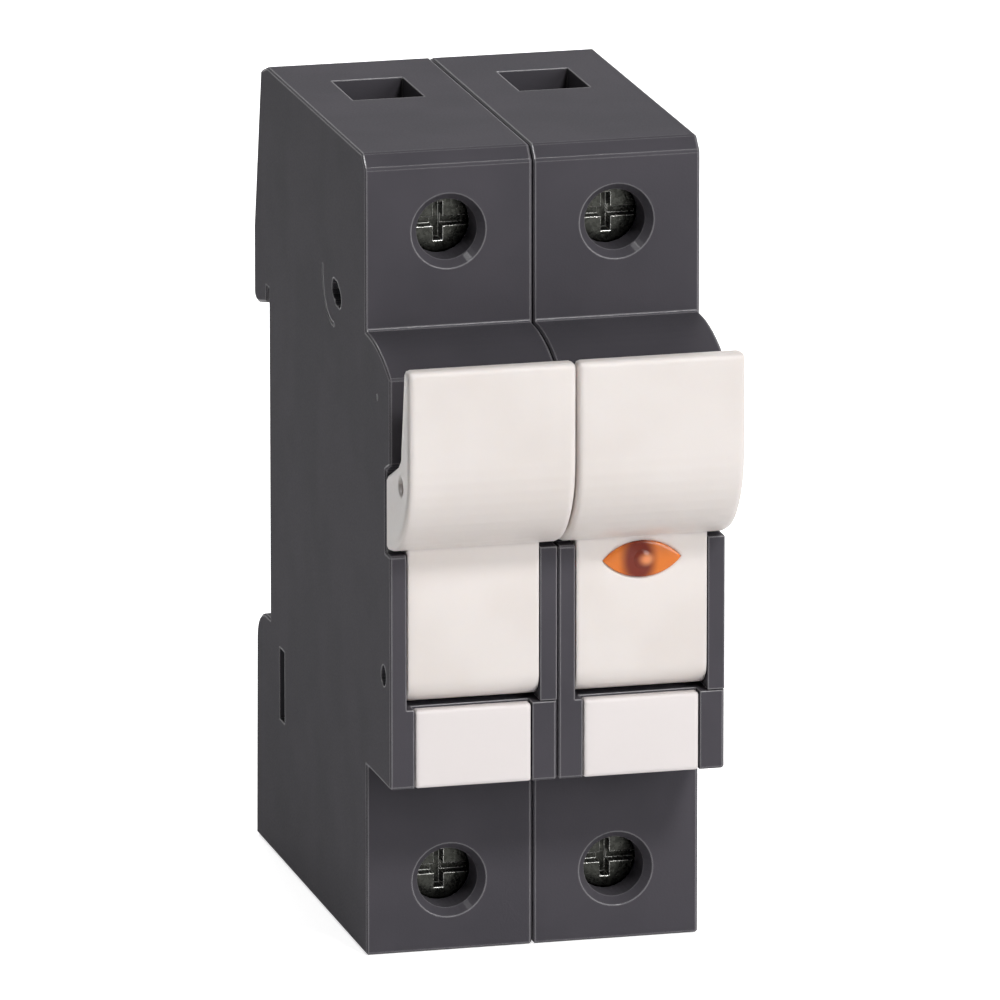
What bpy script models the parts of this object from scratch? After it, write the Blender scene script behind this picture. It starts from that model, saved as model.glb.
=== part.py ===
"""Two-pole fuse holder for a 35 mm mounting rail, with a swing-out carrier in each pole.

The neutral pole (-X) carries a solid link and the phase pole (+X) a cylindrical fuse link
with a blown-fuse lamp. Metres. It is drawn with X across the poles from their seam, Y from
the front to the rail's face at 0, and Z up from half the height. The finished pieces are
then placed so that the origin is under the middle of the whole, on its base.
"""
import math

import bmesh
import bpy
from mathutils import Matrix, Vector

# Housing: one moulded case and one inset cover for each pole
POLE_PITCH = 0.0175
SEAM_GAP = 0.00015
SEAT_GAP = 0.0003
TERMINAL_FACE_Y = -0.0416
BACK_FACE_Y = 0.0065
BACK_LEAN_Z = 0.0235
BACK_TOP_Y = 0.0033
BACK_TOP_DROP = 0.0009
TOP_BACK_Y = 0.0006
TOP_BEVEL = 0.0014
NOSE_RISE = 0.0101
NOSE_BOTTOM_Z = -0.0216
NOSE_ABOVE_BASE = 0.0201
TOP_ABOVE_SHOULDER = 0.0181
SHOULDER_ABOVE_BROW = 0.0037
SHOULDER_DROP = 0.0026
WALL = 0.0018
EDGE_ROUND = 0.0002

# The rail that the holder clips to
RAIL_WIDTH = 0.035
RAIL_THICKNESS = 0.001
RAIL_PLAY_Z = 0.00015
RAIL_PLAY_Y = 0.0003
RAIL_CENTRE_Z = 0.0007
HOOK_OVERLAP = 0.0016
HOOK_LIP_RUN = 0.0015
HOOK_LIP_DROP = 0.0008
FOOT_BACK_Y = 0.0060
FOOT_DROP = 0.0033
FOOT_LEDGE = 0.0006

# Window in the nose where the carrier swings out
WINDOW_HALF = 0.00695
SILL_GAP = 0.00044
BROW_GAP = 0.0002
BROW_LAND = 0.0012
LAP_DEPTH = 0.0020
LAP_LOW_Z = 0.0027
LAP_HIGH_Z = 0.0112
LAP_SLOPE = 0.0009
FRONT_WALL = 0.0040
LOWER_SKIN = 0.0012
REAR_ROOMS = 4

# Hinge of the carrier
HINGE_SETBACK = 0.00266
HINGE_Z = -0.0103
HINGE_PIN_RADIUS = 0.0010
PIN_CLEARANCE = 0.0001

# Fuse link, leaning forward at its top
FUSE_LENGTH = 0.038
FUSE_RADIUS = 0.00515
FERRULE_LENGTH = 0.010
FUSE_LEAN = math.radians(7.0)
FUSE_FOOT_BEHIND_FACE = 0.0068
FUSE_FOOT_Z = -0.0225
FUSE_PLAY = 0.0002
CAP_WALL = 0.0004
CAP_GAP = 0.0001
CAP_LIP = 0.0004
LINK_BORE_RADIUS = 0.0041

# Carrier: panel, handle and cradle in one moulding
PANEL_HALF = 0.0068
PANEL_THICKNESS = 0.0020
CRADLE_HALF = 0.0067
CRADLE_JAW_GAP = 0.0008
HANDLE_RISE = 0.0180
HANDLE_BELOW_SHOULDER = 0.0001
HANDLE_ROUND = 0.0102
HANDLE_TIP_THICKNESS = 0.0021
HANDLE_ROOT_THICKNESS = 0.0036
HANDLE_ROUND_EDGE = 0.0005
FINGER_FLOOR_BACK_Z = 0.0107
FINGER_FLOOR_FRONT_Z = 0.0129
FINGER_FLOOR_EASE = 0.0011
HANDLE_GAP = 0.0002
TIE_PIN_RADIUS = 0.0009
TIE_PIN_RISE = 0.0148
TIE_PIN_Z = 0.0111
TIE_PIN_RECESS = 0.0012

# Indicator in the phase carrier
LENS_HALF_LENGTH = 0.00395
LENS_HALF_HEIGHT = 0.00175
LENS_BELOW_FUSE_TOP = 0.0146
LENS_PROUD = 0.0003
LENS_GAP = 0.00015
LENS_DOME_RADIUS = 0.0013
LAMP_RADIUS = 0.0017
LAMP_HALF = 0.0032
LAMP_BEHIND_PANEL = 0.0028
LAMP_END = 0.0015
LENS_DOME_TOP_RADIUS = 0.0008
RESISTOR_RADIUS = 0.0013
RESISTOR_WAIST_RADIUS = 0.0011
RESISTOR_HALF = 0.0032
RESISTOR_CAP = 0.0014
RESISTOR_ROUND = 0.0004
RESISTOR_DROP = 0.0052
POCKET_HALF = 0.0042
POCKET_BITE = 0.0003
LEAD_RADIUS = 0.0002
LEAD_END_GAP = 0.0003
LEAD_SIDE = 0.0037
LEAD_TURN = math.radians(28.0)
LEAD_CHANNEL_RADIUS = 0.00055
LEAD_CHANNEL_LOW = 0.0080
LEAD_CHANNEL_BELOW_FUSE_TOP = 0.0196
LEAD_BELOW_FUSE_TOP = 0.0080

# Marker plates on the lower nose
MARKER_WIDTH = 0.0120
MARKER_THICKNESS = 0.0014
MARKER_ROUND = 0.00025
MARKER_TOP_GAP = 0.0001
MARKER_PEG = (0.0080, 0.0018, 0.0024)

# Box clamps and their screws
UPPER_SCREW_BELOW_TOP = 0.0082
LOWER_SCREW_ABOVE_BASE = 0.0074
SCREW_BORE_RADIUS = 0.00315
SCREW_BORE_DEPTH = 0.0042
COUNTERSINK_RADIUS = 0.0039
COUNTERSINK_DEPTH = 0.0009
HEAD_RADIUS = 0.0034
HEAD_THICKNESS = 0.0028
SHANK_RADIUS = 0.0021
SHANK_PAST_NUT = 0.0055
SCREW_CHAMFER = 0.0004
THREAD_CLEARANCE = 0.0001
SLOT_WIDTH = 0.0010
SLOT_DEPTH = 0.0015
CROSS_LENGTH = 0.0040
CROSS_DEPTH = 0.0020
CLAMP_TRAVEL = 0.0070
CLAMP_NUT = 0.0030
CLAMP_SIDE = 0.0012
CLAMP_BACK = 0.0012
CLAMP_HEIGHT = 0.0084
CLAMP_HALF = 0.0066
CLAMP_ROUND = 0.0008
CHAMBER_HALF_HEIGHT = 0.0059
WIRE_SPACE = 0.0091
WIRE_ENTRY_HALF = 0.00375
WIRE_ENTRY_MARGIN = 0.0003

# Contact strips with their fuse jaws
STRIP_THICKNESS = 0.0012
STRIP_HALF = 0.0040
STRIP_OVERHANG = 0.0044
JAW_LEAF = 0.0008
JAW_GAP = 0.00015
JAW_LENGTH = 0.0090
JAW_REACH = 0.0022
JAW_MARGIN = 0.0001
UPPER_RUN_ABOVE_BROW = 0.0005
LOWER_RUN_GAP = 0.0004

# Rivets that tie the poles together
RIVET_RADIUS = 0.0012
RIVET_RECESS = 0.0012
BLIND_SKIN = 0.0009
RIVET_SINK = 0.0026
MOUTH_HALF = 0.0021
MOUTH_RADIUS = 0.0011
MOUTH_TILT = 17.0
MOUTH_DEPTH = 0.0013

# Shallow marks in the outer wall of the neutral case
CRESCENT_PLACE = (-0.0280, 0.0257)
CRESCENT_RADIUS = 0.0045
CRESCENT_WIDTH = 0.0004
CRESCENT_DEPTH = 0.00012
DOT_PLACE = (-0.0466, 0.0180)
DOT_RADIUS = 0.0003

# Rail latch and its spring in each pole
LATCH_HALF = 0.0066
LATCH_TRAVEL = 0.0022
LATCH_NOSE = 0.00135
LATCH_FRONT_Y = -0.0020
LATCH_BACK_Y = 0.0037
LATCH_SHOULDER = 0.0018
LATCH_LEAD_IN = 0.0006
LATCH_TIP_ROUND = 0.0002
LATCH_ABOVE_BASE = 0.0004
LATCH_WINDOW_HALF = 0.0026
LATCH_WINDOW_ABOVE_BASE = 0.0157
PEG_ABOVE_BASE = 0.0102
PEG_THICKNESS = 0.0015
SPRING_RADIUS = 0.0018
SPRING_WIRE = 0.00025
SPRING_TURNS = 4.5

# Small groove in each case's outer wall, beside the foot
GROOVE_Y = -0.0051
GROOVE_WIDTH = 0.0024
GROOVE_LOW_Z = -0.0266
GROOVE_HIGH_Z = -0.0189
GROOVE_DEPTH = 0.0009

# Places worked out from the sizes above
NOSE_FACE_Y = TERMINAL_FACE_Y - NOSE_RISE
HINGE_Y = NOSE_FACE_Y + HINGE_SETBACK
LAP_Y = NOSE_FACE_Y + LAP_DEPTH
HANDLE_FACE_Y = TERMINAL_FACE_Y - HANDLE_RISE
FUSE_UP = Vector((0, -math.sin(FUSE_LEAN), math.cos(FUSE_LEAN)))
FUSE_BACK = Vector((0, math.cos(FUSE_LEAN), math.sin(FUSE_LEAN)))
FUSE_FOOT_Y = TERMINAL_FACE_Y + FUSE_FOOT_BEHIND_FACE
FUSE_FOOT = Vector((0, FUSE_FOOT_Y, FUSE_FOOT_Z))
HINGE = Vector((0, HINGE_Y, HINGE_Z))
LENS_Z = FUSE_FOOT_Z + FUSE_LENGTH - LENS_BELOW_FUSE_TOP
LEAD_CHANNEL_HIGH = FUSE_LENGTH - LEAD_CHANNEL_BELOW_FUSE_TOP
FUSE_TOP_REAR = FUSE_FOOT + FUSE_UP * FUSE_LENGTH + FUSE_BACK * FUSE_RADIUS
JAW_CORNER = FUSE_FOOT + FUSE_UP * (FUSE_LENGTH - JAW_LENGTH) - FUSE_BACK * JAW_REACH
CRADLE_REACH = (JAW_CORNER - HINGE).length - CRADLE_JAW_GAP
SILL_Z = HINGE_Z - HINGE_SETBACK - SILL_GAP
BROW_Z = HINGE_Z + (FUSE_TOP_REAR - HINGE).length + BROW_GAP
SHOULDER_Z = BROW_Z + SHOULDER_ABOVE_BROW
HANDLE_TOP_Z = SHOULDER_Z - HANDLE_BELOW_SHOULDER
UPPER_RUN_Z = BROW_Z + UPPER_RUN_ABOVE_BROW
TOP_Z = SHOULDER_Z + TOP_ABOVE_SHOULDER
BOTTOM_Z = NOSE_BOTTOM_Z - NOSE_ABOVE_BASE
UPPER_SCREW_Z = TOP_Z - UPPER_SCREW_BELOW_TOP
LOWER_SCREW_Z = BOTTOM_Z + LOWER_SCREW_ABOVE_BASE
LATCH_WINDOW_TOP_Z = BOTTOM_Z + LATCH_WINDOW_ABOVE_BASE
PEG_TOP_Z = BOTTOM_Z + PEG_ABOVE_BASE
SLOT_TOP_Z = RAIL_CENTRE_Z + RAIL_WIDTH / 2 + RAIL_PLAY_Z
SLOT_BACK_Y = RAIL_THICKNESS + RAIL_PLAY_Y
HOOK_TIP_Z = RAIL_CENTRE_Z + RAIL_WIDTH / 2 - HOOK_OVERLAP
FOOT_TOP_Z = RAIL_CENTRE_Z - RAIL_WIDTH / 2 - RAIL_PLAY_Z
HEAD_FRONT_Y = TERMINAL_FACE_Y + SCREW_BORE_DEPTH + SEAT_GAP
HEAD_BACK_Y = HEAD_FRONT_Y + HEAD_THICKNESS
CLAMP_FRONT_Y = HEAD_BACK_Y + 2 * SEAT_GAP + CLAMP_TRAVEL
STRIP_FRONT_Y = CLAMP_FRONT_Y + CLAMP_NUT + SHANK_PAST_NUT
STRIP_BACK_Y = STRIP_FRONT_Y + STRIP_THICKNESS
SCREW_TIP_Y = STRIP_FRONT_Y - SEAT_GAP
CLAMP_BACK_Y = STRIP_BACK_Y + SEAT_GAP + WIRE_SPACE + CLAMP_BACK
CHAMBER_BACK_Y = CLAMP_BACK_Y + 2 * SEAT_GAP
POLES = {"neutral": -POLE_PITCH / 2, "phase": POLE_PITCH / 2}
POLE_HALF = POLE_PITCH / 2 - SEAM_GAP / 2
LATCH_END_Z = BOTTOM_Z + LATCH_TRAVEL + LATCH_ABOVE_BASE
LOWER_RUN_TOP_Z = FUSE_FOOT_Z - FUSE_RADIUS * math.sin(FUSE_LEAN) - LOWER_RUN_GAP
FLOOR_Z = LOWER_RUN_TOP_Z - STRIP_THICKNESS - SEAT_GAP
RIVET_PLACES = {
    "upper": (TERMINAL_FACE_Y + 0.0121, SHOULDER_Z + 0.00115, True),
    "lower": (STRIP_FRONT_Y - 0.0028,
              (FLOOR_Z + LOWER_SCREW_Z + CHAMBER_HALF_HEIGHT) / 2, False),
    "rear": (-0.0036, SLOT_TOP_Z + 0.0050, False),
}
ORIGIN = Vector((0, (HANDLE_FACE_Y + BACK_FACE_Y) / 2, BOTTOM_Z))

# Which way each flat drawing faces: its two drawn axes, then the way it is extruded
PLANES = {
    "YZ": Matrix(((0, 0, 1, 0), (1, 0, 0, 0), (0, 1, 0, 0), (0, 0, 0, 1))),
    "XZ": Matrix(((1, 0, 0, 0), (0, 0, -1, 0), (0, 1, 0, 0), (0, 0, 0, 1))),
    "XY": Matrix.Identity(4),
}
PARTS = "fuse_holder"
CUTTERS = "fuse_holder_cutters"


def clear_scene():
    for old in list(bpy.data.objects):
        bpy.data.objects.remove(old, do_unlink=True)


def collection(name):
    """The named collection, made and linked when it isn't there yet."""
    found = bpy.data.collections.get(name)
    if found is None:
        found = bpy.data.collections.new(name)
        bpy.context.scene.collection.children.link(found)
    return found


def material(name, color, roughness, metallic=0.0, alpha=1.0):
    made = bpy.data.materials.new(name)
    made.use_nodes = True
    shader = made.node_tree.nodes["Principled BSDF"]
    shader.inputs["Base Color"].default_value = (*color, 1.0)
    shader.inputs["Roughness"].default_value = roughness
    shader.inputs["Metallic"].default_value = metallic
    shader.inputs["Alpha"].default_value = alpha
    return made


def make_materials():
    return {
        "case": material("dark_moulding", (0.060, 0.058, 0.066), 0.55),
        "carrier": material("white_moulding", (0.82, 0.77, 0.75), 0.45),
        "marker": material("marker_plastic", (0.84, 0.79, 0.78), 0.50),
        "lens": material("amber_lens", (0.90, 0.22, 0.02), 0.15, 0.0, 0.85),
        "steel": material("zinc_plated_steel", (0.62, 0.62, 0.60), 0.35, 1.0),
        "pin": material("pin_steel", (0.30, 0.30, 0.30), 0.40, 1.0),
        "strip": material("tinned_copper", (0.72, 0.66, 0.58), 0.30, 1.0),
        "ferrule": material("nickelled_brass", (0.70, 0.68, 0.62), 0.25, 1.0),
        "ceramic": material("ceramic", (0.80, 0.78, 0.74), 0.40),
        "glass": material("lamp_glass", (0.90, 0.60, 0.45), 0.10, 0.0, 0.60),
        "resistor": material("resistor_lacquer", (0.55, 0.42, 0.28), 0.50),
    }


def add_mesh(name, shape, group=CUTTERS):
    """An object from a bmesh, with its faces pointing out."""
    bmesh.ops.recalc_face_normals(shape, faces=shape.faces)
    mesh = bpy.data.meshes.new(name)
    shape.to_mesh(mesh)
    shape.free()
    made = bpy.data.objects.new(name, mesh)
    collection(group).objects.link(made)
    made.hide_render = group == CUTTERS
    made.display_type = "WIRE" if group == CUTTERS else "TEXTURED"
    return made


def evaluated_mesh(source):
    bpy.context.view_layer.update()
    graph = bpy.context.evaluated_depsgraph_get()
    return bpy.data.meshes.new_from_object(source.evaluated_get(graph))


def apply_modifiers(target):
    mesh = evaluated_mesh(target)
    target.modifiers.clear()
    target.data = mesh
    return target


def flat_solid(name, plane, outline, low, high, holes=()):
    """A closed outline drawn in a plane and extruded from low to high across it."""
    curve = bpy.data.curves.new(name, "CURVE")
    curve.dimensions = "2D"
    curve.fill_mode = "BOTH"
    curve.extrude = (high - low) / 2
    for loop in (outline, *holes):
        spline = curve.splines.new("POLY")
        spline.points.add(len(loop) - 1)
        spline.use_cyclic_u = True
        for point, (u, v) in zip(spline.points, loop):
            point.co = (u, v, 0, 1)
    drawn = bpy.data.objects.new(name, curve)
    collection(CUTTERS).objects.link(drawn)
    middle = {"YZ": ((low + high) / 2, 0, 0), "XZ": (0, (low + high) / 2, 0)}.get(
        plane, (0, 0, (low + high) / 2))
    drawn.matrix_world = Matrix.Translation(middle) @ PLANES[plane]
    mesh = evaluated_mesh(drawn)
    mesh.transform(drawn.matrix_world)
    bpy.data.objects.remove(drawn, do_unlink=True)
    shape = bmesh.new()
    shape.from_mesh(mesh)
    bmesh.ops.remove_doubles(shape, verts=shape.verts, dist=1e-6)
    return add_mesh(name, shape)


def block(name, low, high):
    shape = bmesh.new()
    bmesh.ops.create_cube(shape, size=1.0)
    low, high = Vector(low), Vector(high)
    size = high - low
    bmesh.ops.scale(shape, vec=size, verts=shape.verts)
    bmesh.ops.translate(shape, vec=(low + high) / 2, verts=shape.verts)
    return add_mesh(name, shape)


def rod(name, start, end, radius, end_radius=None, sides=24):
    """A cylinder, or a cone where end_radius is given, from one point to another."""
    start, end = Vector(start), Vector(end)
    run = end - start
    shape = bmesh.new()
    bmesh.ops.create_cone(
        shape, cap_ends=True, segments=sides, radius1=radius,
        radius2=radius if end_radius is None else end_radius, depth=run.length)
    turn = Vector((0, 0, 1)).rotation_difference(run.normalized()).to_matrix().to_4x4()
    bmesh.ops.transform(
        shape, matrix=Matrix.Translation((start + end) / 2) @ turn, verts=shape.verts)
    return add_mesh(name, shape)


def turned(name, profile, start, direction, sides=24):
    """A profile of (radius, distance) points, spun about a line from start."""
    mesh = bpy.data.meshes.new(name)
    points = [(radius, 0, along) for radius, along in profile]
    loop = [(i, (i + 1) % len(points)) for i in range(len(points))]
    open_profile = profile[0][0] == 0
    mesh.from_pydata(points, loop[:-1] if open_profile else loop, [])
    spun = bpy.data.objects.new(name, mesh)
    collection(CUTTERS).objects.link(spun)
    screw = spun.modifiers.new("spin", "SCREW")
    screw.steps = screw.render_steps = sides
    screw.use_merge_vertices = True
    screw.merge_threshold = 1e-6
    mesh = evaluated_mesh(spun)
    bpy.data.objects.remove(spun, do_unlink=True)
    turn = Vector((0, 0, 1)).rotation_difference(Vector(direction)).to_matrix().to_4x4()
    mesh.transform(Matrix.Translation(start) @ turn)
    shape = bmesh.new()
    shape.from_mesh(mesh)
    bmesh.ops.remove_doubles(shape, verts=shape.verts, dist=1e-6)
    return add_mesh(name, shape)


def wire(name, points, radius, resolution=1):
    """A round wire through the points, with closed ends."""
    curve = bpy.data.curves.new(name, "CURVE")
    curve.dimensions = "3D"
    curve.bevel_depth = radius
    curve.bevel_resolution = resolution
    curve.use_fill_caps = True
    spline = curve.splines.new("POLY")
    spline.points.add(len(points) - 1)
    for point, place in zip(spline.points, points):
        point.co = (*place, 1)
    drawn = bpy.data.objects.new(name, curve)
    collection(CUTTERS).objects.link(drawn)
    mesh = evaluated_mesh(drawn)
    bpy.data.objects.remove(drawn, do_unlink=True)
    shape = bmesh.new()
    shape.from_mesh(mesh)
    bmesh.ops.remove_doubles(shape, verts=shape.verts, dist=1e-6)
    return add_mesh(name, shape)


def combine(target, tools, operation):
    """Join the tools to the target or cut them from it, and remove the tools."""
    for tool in tools:
        modifier = target.modifiers.new(operation.lower(), "BOOLEAN")
        modifier.operation = operation
        modifier.solver = "EXACT"
        modifier.object = tool
        apply_modifiers(target)
        bpy.data.objects.remove(tool, do_unlink=True)
    return target


def cut(target, *tools):
    return combine(target, tools, "DIFFERENCE")


def join(target, *tools):
    return combine(target, tools, "UNION")


def soften(target, width, segments=2):
    """Round the sharp edges of a plain solid before anything is cut from it."""
    shape = bmesh.new()
    shape.from_mesh(target.data)
    bmesh.ops.dissolve_limit(
        shape, angle_limit=math.radians(1), verts=shape.verts, edges=shape.edges)
    shape.to_mesh(target.data)
    shape.free()
    bevel = target.modifiers.new("round", "BEVEL")
    bevel.width = width
    bevel.segments = segments
    bevel.limit_method = "ANGLE"
    bevel.angle_limit = math.radians(35)
    return apply_modifiers(target)


def finish(piece, name, look, origin):
    """Name a finished piece, give it its material and put its origin where it turns."""
    mesh = piece.data
    mesh.transform(Matrix.Translation(-Vector(origin)))
    piece.location = Vector(origin) - ORIGIN
    piece.name = mesh.name = name
    mesh.materials.clear()
    mesh.materials.append(look)
    mesh.shade_smooth()
    mesh.set_sharp_from_angle(angle=math.radians(35))
    collection(CUTTERS).objects.unlink(piece)
    collection(PARTS).objects.link(piece)
    piece.hide_render = False
    piece.display_type = "TEXTURED"
    return piece


def arc(centre, radius, start, end, steps):
    """Points on an arc; angles in degrees from the first drawn axis."""
    angles = [math.radians(start + (end - start) * i / steps) for i in range(steps + 1)]
    return [(centre[0] + radius * math.cos(a), centre[1] + radius * math.sin(a)) for a in angles]


def rectangle(u_low, v_low, u_high, v_high):
    return [(u_low, v_low), (u_high, v_low), (u_high, v_high), (u_low, v_high)]


def rounded_rectangle(u_low, v_low, u_high, v_high, radius, steps=4):
    corners = ((u_high - radius, v_low + radius, -90), (u_high - radius, v_high - radius, 0),
               (u_low + radius, v_high - radius, 90), (u_low + radius, v_low + radius, 180))
    return [p for u, v, a in corners for p in arc((u, v), radius, a, a + 90, steps)]


def slot_outline(centre, half, radius, tilt):
    """A slot with round ends, its long axis tilted by so many degrees."""
    run = half - radius
    across, up = run * math.cos(math.radians(tilt)), run * math.sin(math.radians(tilt))
    return [*arc((centre[0] + across, centre[1] + up), radius, tilt - 90, tilt + 90, 6),
            *arc((centre[0] - across, centre[1] - up), radius, tilt + 90, tilt + 270, 6)]


def shoulder_arc(inset, front_y):
    """The crowned top of the nose, from front_y back to the step, inset into the moulding."""
    radius = (NOSE_RISE ** 2 + SHOULDER_DROP ** 2) / (2 * SHOULDER_DROP)
    centre = (TERMINAL_FACE_Y, SHOULDER_Z - radius)
    start = 90 + math.degrees(math.asin((TERMINAL_FACE_Y - front_y) / (radius - inset)))
    return arc(centre, radius - inset, start, 90, 8)


def hook_lip():
    """The round lip at the back of the hook above the rail, from its back corner forward."""
    return [(BACK_FACE_Y - HOOK_LIP_RUN * (1 - math.cos(math.radians(a))),
             HOOK_TIP_Z - HOOK_LIP_DROP * math.sin(math.radians(a))) for a in (0, 30, 60, 90)]


def foot_arc(inset):
    """The rounded lead-in of the foot below the rail, from the ledge round to the back."""
    width = FOOT_BACK_Y - SLOT_BACK_Y - FOOT_LEDGE
    points = []
    for i in range(7):
        angle = math.radians(90 - 15 * i)
        points.append((SLOT_BACK_Y + FOOT_LEDGE + (width - inset) * math.cos(angle),
                       FOOT_TOP_Z - FOOT_DROP + (FOOT_DROP - inset) * math.sin(angle)))
    return points


def lap_points(face_y):
    """The step in each side wall of the nose that the handle's root laps over."""
    return [(face_y, LAP_LOW_Z), (LAP_Y, LAP_LOW_Z), (LAP_Y, LAP_HIGH_Z),
            (face_y, LAP_HIGH_Z + LAP_SLOPE)]


def case_outline():
    return [
        (TERMINAL_FACE_Y, BOTTOM_Z),
        (TERMINAL_FACE_Y, NOSE_BOTTOM_Z),
        (NOSE_FACE_Y, NOSE_BOTTOM_Z),
        *lap_points(NOSE_FACE_Y),
        *shoulder_arc(0, NOSE_FACE_Y),
        (TERMINAL_FACE_Y, TOP_Z - TOP_BEVEL),
        (TERMINAL_FACE_Y + TOP_BEVEL, TOP_Z),
        (TOP_BACK_Y, TOP_Z),
        (BACK_TOP_Y, TOP_Z - BACK_TOP_DROP),
        (BACK_FACE_Y, BACK_LEAN_Z),
        *hook_lip(),
        (SLOT_BACK_Y, HOOK_TIP_Z),
        (SLOT_BACK_Y, SLOT_TOP_Z),
        (0, SLOT_TOP_Z),
        (0, FOOT_TOP_Z),
        *foot_arc(0),
        (BACK_FACE_Y, BOTTOM_Z),
    ]


def cover_outline(gap, tongue):
    """The inset cover's outline; the tongue's points make the window's right wall."""
    inset = WALL + gap
    hook_floor_z = SLOT_TOP_Z + inset
    return [
        (TERMINAL_FACE_Y + inset, BOTTOM_Z + inset),
        (TERMINAL_FACE_Y + inset, NOSE_BOTTOM_Z + inset),
        (NOSE_FACE_Y + FRONT_WALL + gap, NOSE_BOTTOM_Z + inset),
        (NOSE_FACE_Y + FRONT_WALL + gap, SILL_Z + gap),
        *tongue,
        (NOSE_FACE_Y + inset + BROW_LAND, BROW_Z - gap),
        *shoulder_arc(inset, NOSE_FACE_Y + inset + BROW_LAND),
        (TERMINAL_FACE_Y + inset, SHOULDER_Z - inset),
        (TERMINAL_FACE_Y + inset, TOP_Z - inset),
        (TOP_BACK_Y - inset, TOP_Z - inset),
        (BACK_TOP_Y - inset, TOP_Z - BACK_TOP_DROP - inset),
        (BACK_FACE_Y - inset, BACK_LEAN_Z),
        (BACK_FACE_Y - inset, hook_floor_z),
        (-inset, hook_floor_z),
        (-inset, FOOT_TOP_Z - inset),
        *foot_arc(inset),
        (BACK_FACE_Y - inset, BOTTOM_Z + inset),
    ]


def fuse_point(along, behind=0.0):
    """A (Y, Z) point beside the fuse's axis, from its lower end."""
    place = FUSE_FOOT + FUSE_UP * along + FUSE_BACK * behind
    return (place.y, place.z)


def upper_jaw_base():
    """Where the upper jaw starts along the fuse, and how far behind its axis the web lies."""
    return FUSE_LENGTH - JAW_LENGTH, FUSE_RADIUS + SEAT_GAP


def upper_strip_outline(grow=0.0):
    """The upper contact strip seen from the side, made fatter by grow for its slot."""
    start, near = upper_jaw_base()
    near -= grow
    far = near + STRIP_THICKNESS + 2 * grow
    inner = fuse_point(FUSE_LENGTH, near)
    outer = fuse_point(FUSE_LENGTH, far)
    end_z = UPPER_SCREW_Z + STRIP_OVERHANG
    return [
        fuse_point(start, near),
        inner,
        (inner[0], UPPER_RUN_Z + STRIP_THICKNESS + grow),
        (STRIP_FRONT_Y - grow, UPPER_RUN_Z + STRIP_THICKNESS + grow),
        (STRIP_FRONT_Y - grow, end_z),
        (STRIP_BACK_Y + grow, end_z),
        (STRIP_BACK_Y + grow, UPPER_RUN_Z - grow),
        (outer[0], UPPER_RUN_Z - grow),
        outer,
        fuse_point(start, far),
    ]


def lower_strip_outline(grow=0.0):
    front_y = FUSE_FOOT_Y - FUSE_RADIUS
    end_z = LOWER_SCREW_Z - STRIP_OVERHANG
    top_z = LOWER_RUN_TOP_Z + grow
    low_z = LOWER_RUN_TOP_Z - STRIP_THICKNESS - grow
    return [
        (front_y, low_z), (STRIP_FRONT_Y - grow, low_z), (STRIP_FRONT_Y - grow, end_z),
        (STRIP_BACK_Y + grow, end_z), (STRIP_BACK_Y + grow, top_z), (front_y, top_z),
    ]


def chamber(name, outline, centre, half=WINDOW_HALF):
    """A room in the case, open towards the cover."""
    return flat_solid(name, "YZ", outline, centre - half, centre + WINDOW_HALF)


def terminal_cutters(centre, screw_z, outward):
    """Room, screw bore and wire entry of one terminal; outward is +1 at the top."""
    room = chamber("terminal_room", rectangle(
        TERMINAL_FACE_Y + SCREW_BORE_DEPTH, screw_z - CHAMBER_HALF_HEIGHT,
        CHAMBER_BACK_Y, screw_z + CHAMBER_HALF_HEIGHT), centre)
    slope = (COUNTERSINK_RADIUS - SCREW_BORE_RADIUS) / COUNTERSINK_DEPTH
    end = SCREW_BORE_DEPTH + 2 * WALL
    profile = [(0, 0), (COUNTERSINK_RADIUS + slope * WALL, 0),
               (SCREW_BORE_RADIUS, WALL + COUNTERSINK_DEPTH), (SCREW_BORE_RADIUS, end), (0, end)]
    bore = turned("screw_bore", profile, (centre, TERMINAL_FACE_Y - WALL, screw_z), (0, 1, 0),
                  sides=36)
    ends = sorted((screw_z, outward * (TOP_Z + WALL)))
    entry = block(
        "wire_entry",
        (centre - WIRE_ENTRY_HALF, STRIP_BACK_Y + WIRE_ENTRY_MARGIN, ends[0]),
        (centre + WIRE_ENTRY_HALF, CLAMP_BACK_Y - CLAMP_BACK + WIRE_ENTRY_MARGIN, ends[1]))
    return [room, bore, entry]


def carrier_room(centre):
    back_y = HINGE_Y + math.hypot(
        FUSE_FOOT_Y + FUSE_RADIUS - HINGE_Y, FUSE_FOOT_Z - HINGE_Z) + 2 * SEAT_GAP
    jaw_start, near = upper_jaw_base()
    jaw_back = fuse_point(jaw_start, near + STRIP_THICKNESS + SEAT_GAP)
    outline = [
        (NOSE_FACE_Y - WALL, SILL_Z),
        (NOSE_FACE_Y + FRONT_WALL, SILL_Z),
        (NOSE_FACE_Y + FRONT_WALL, NOSE_BOTTOM_Z + WALL),
        (TERMINAL_FACE_Y + LOWER_SKIN, NOSE_BOTTOM_Z + WALL),
        (TERMINAL_FACE_Y + LOWER_SKIN, FLOOR_Z),
        (back_y, FLOOR_Z),
        (back_y, jaw_back[1] - SEAT_GAP),
        (jaw_back[0], jaw_back[1] - SEAT_GAP),
        (fuse_point(FUSE_LENGTH, near + STRIP_THICKNESS + SEAT_GAP)[0], BROW_Z),
        (NOSE_FACE_Y - WALL, BROW_Z),
    ]
    return chamber("carrier_room", outline, centre)


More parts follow.
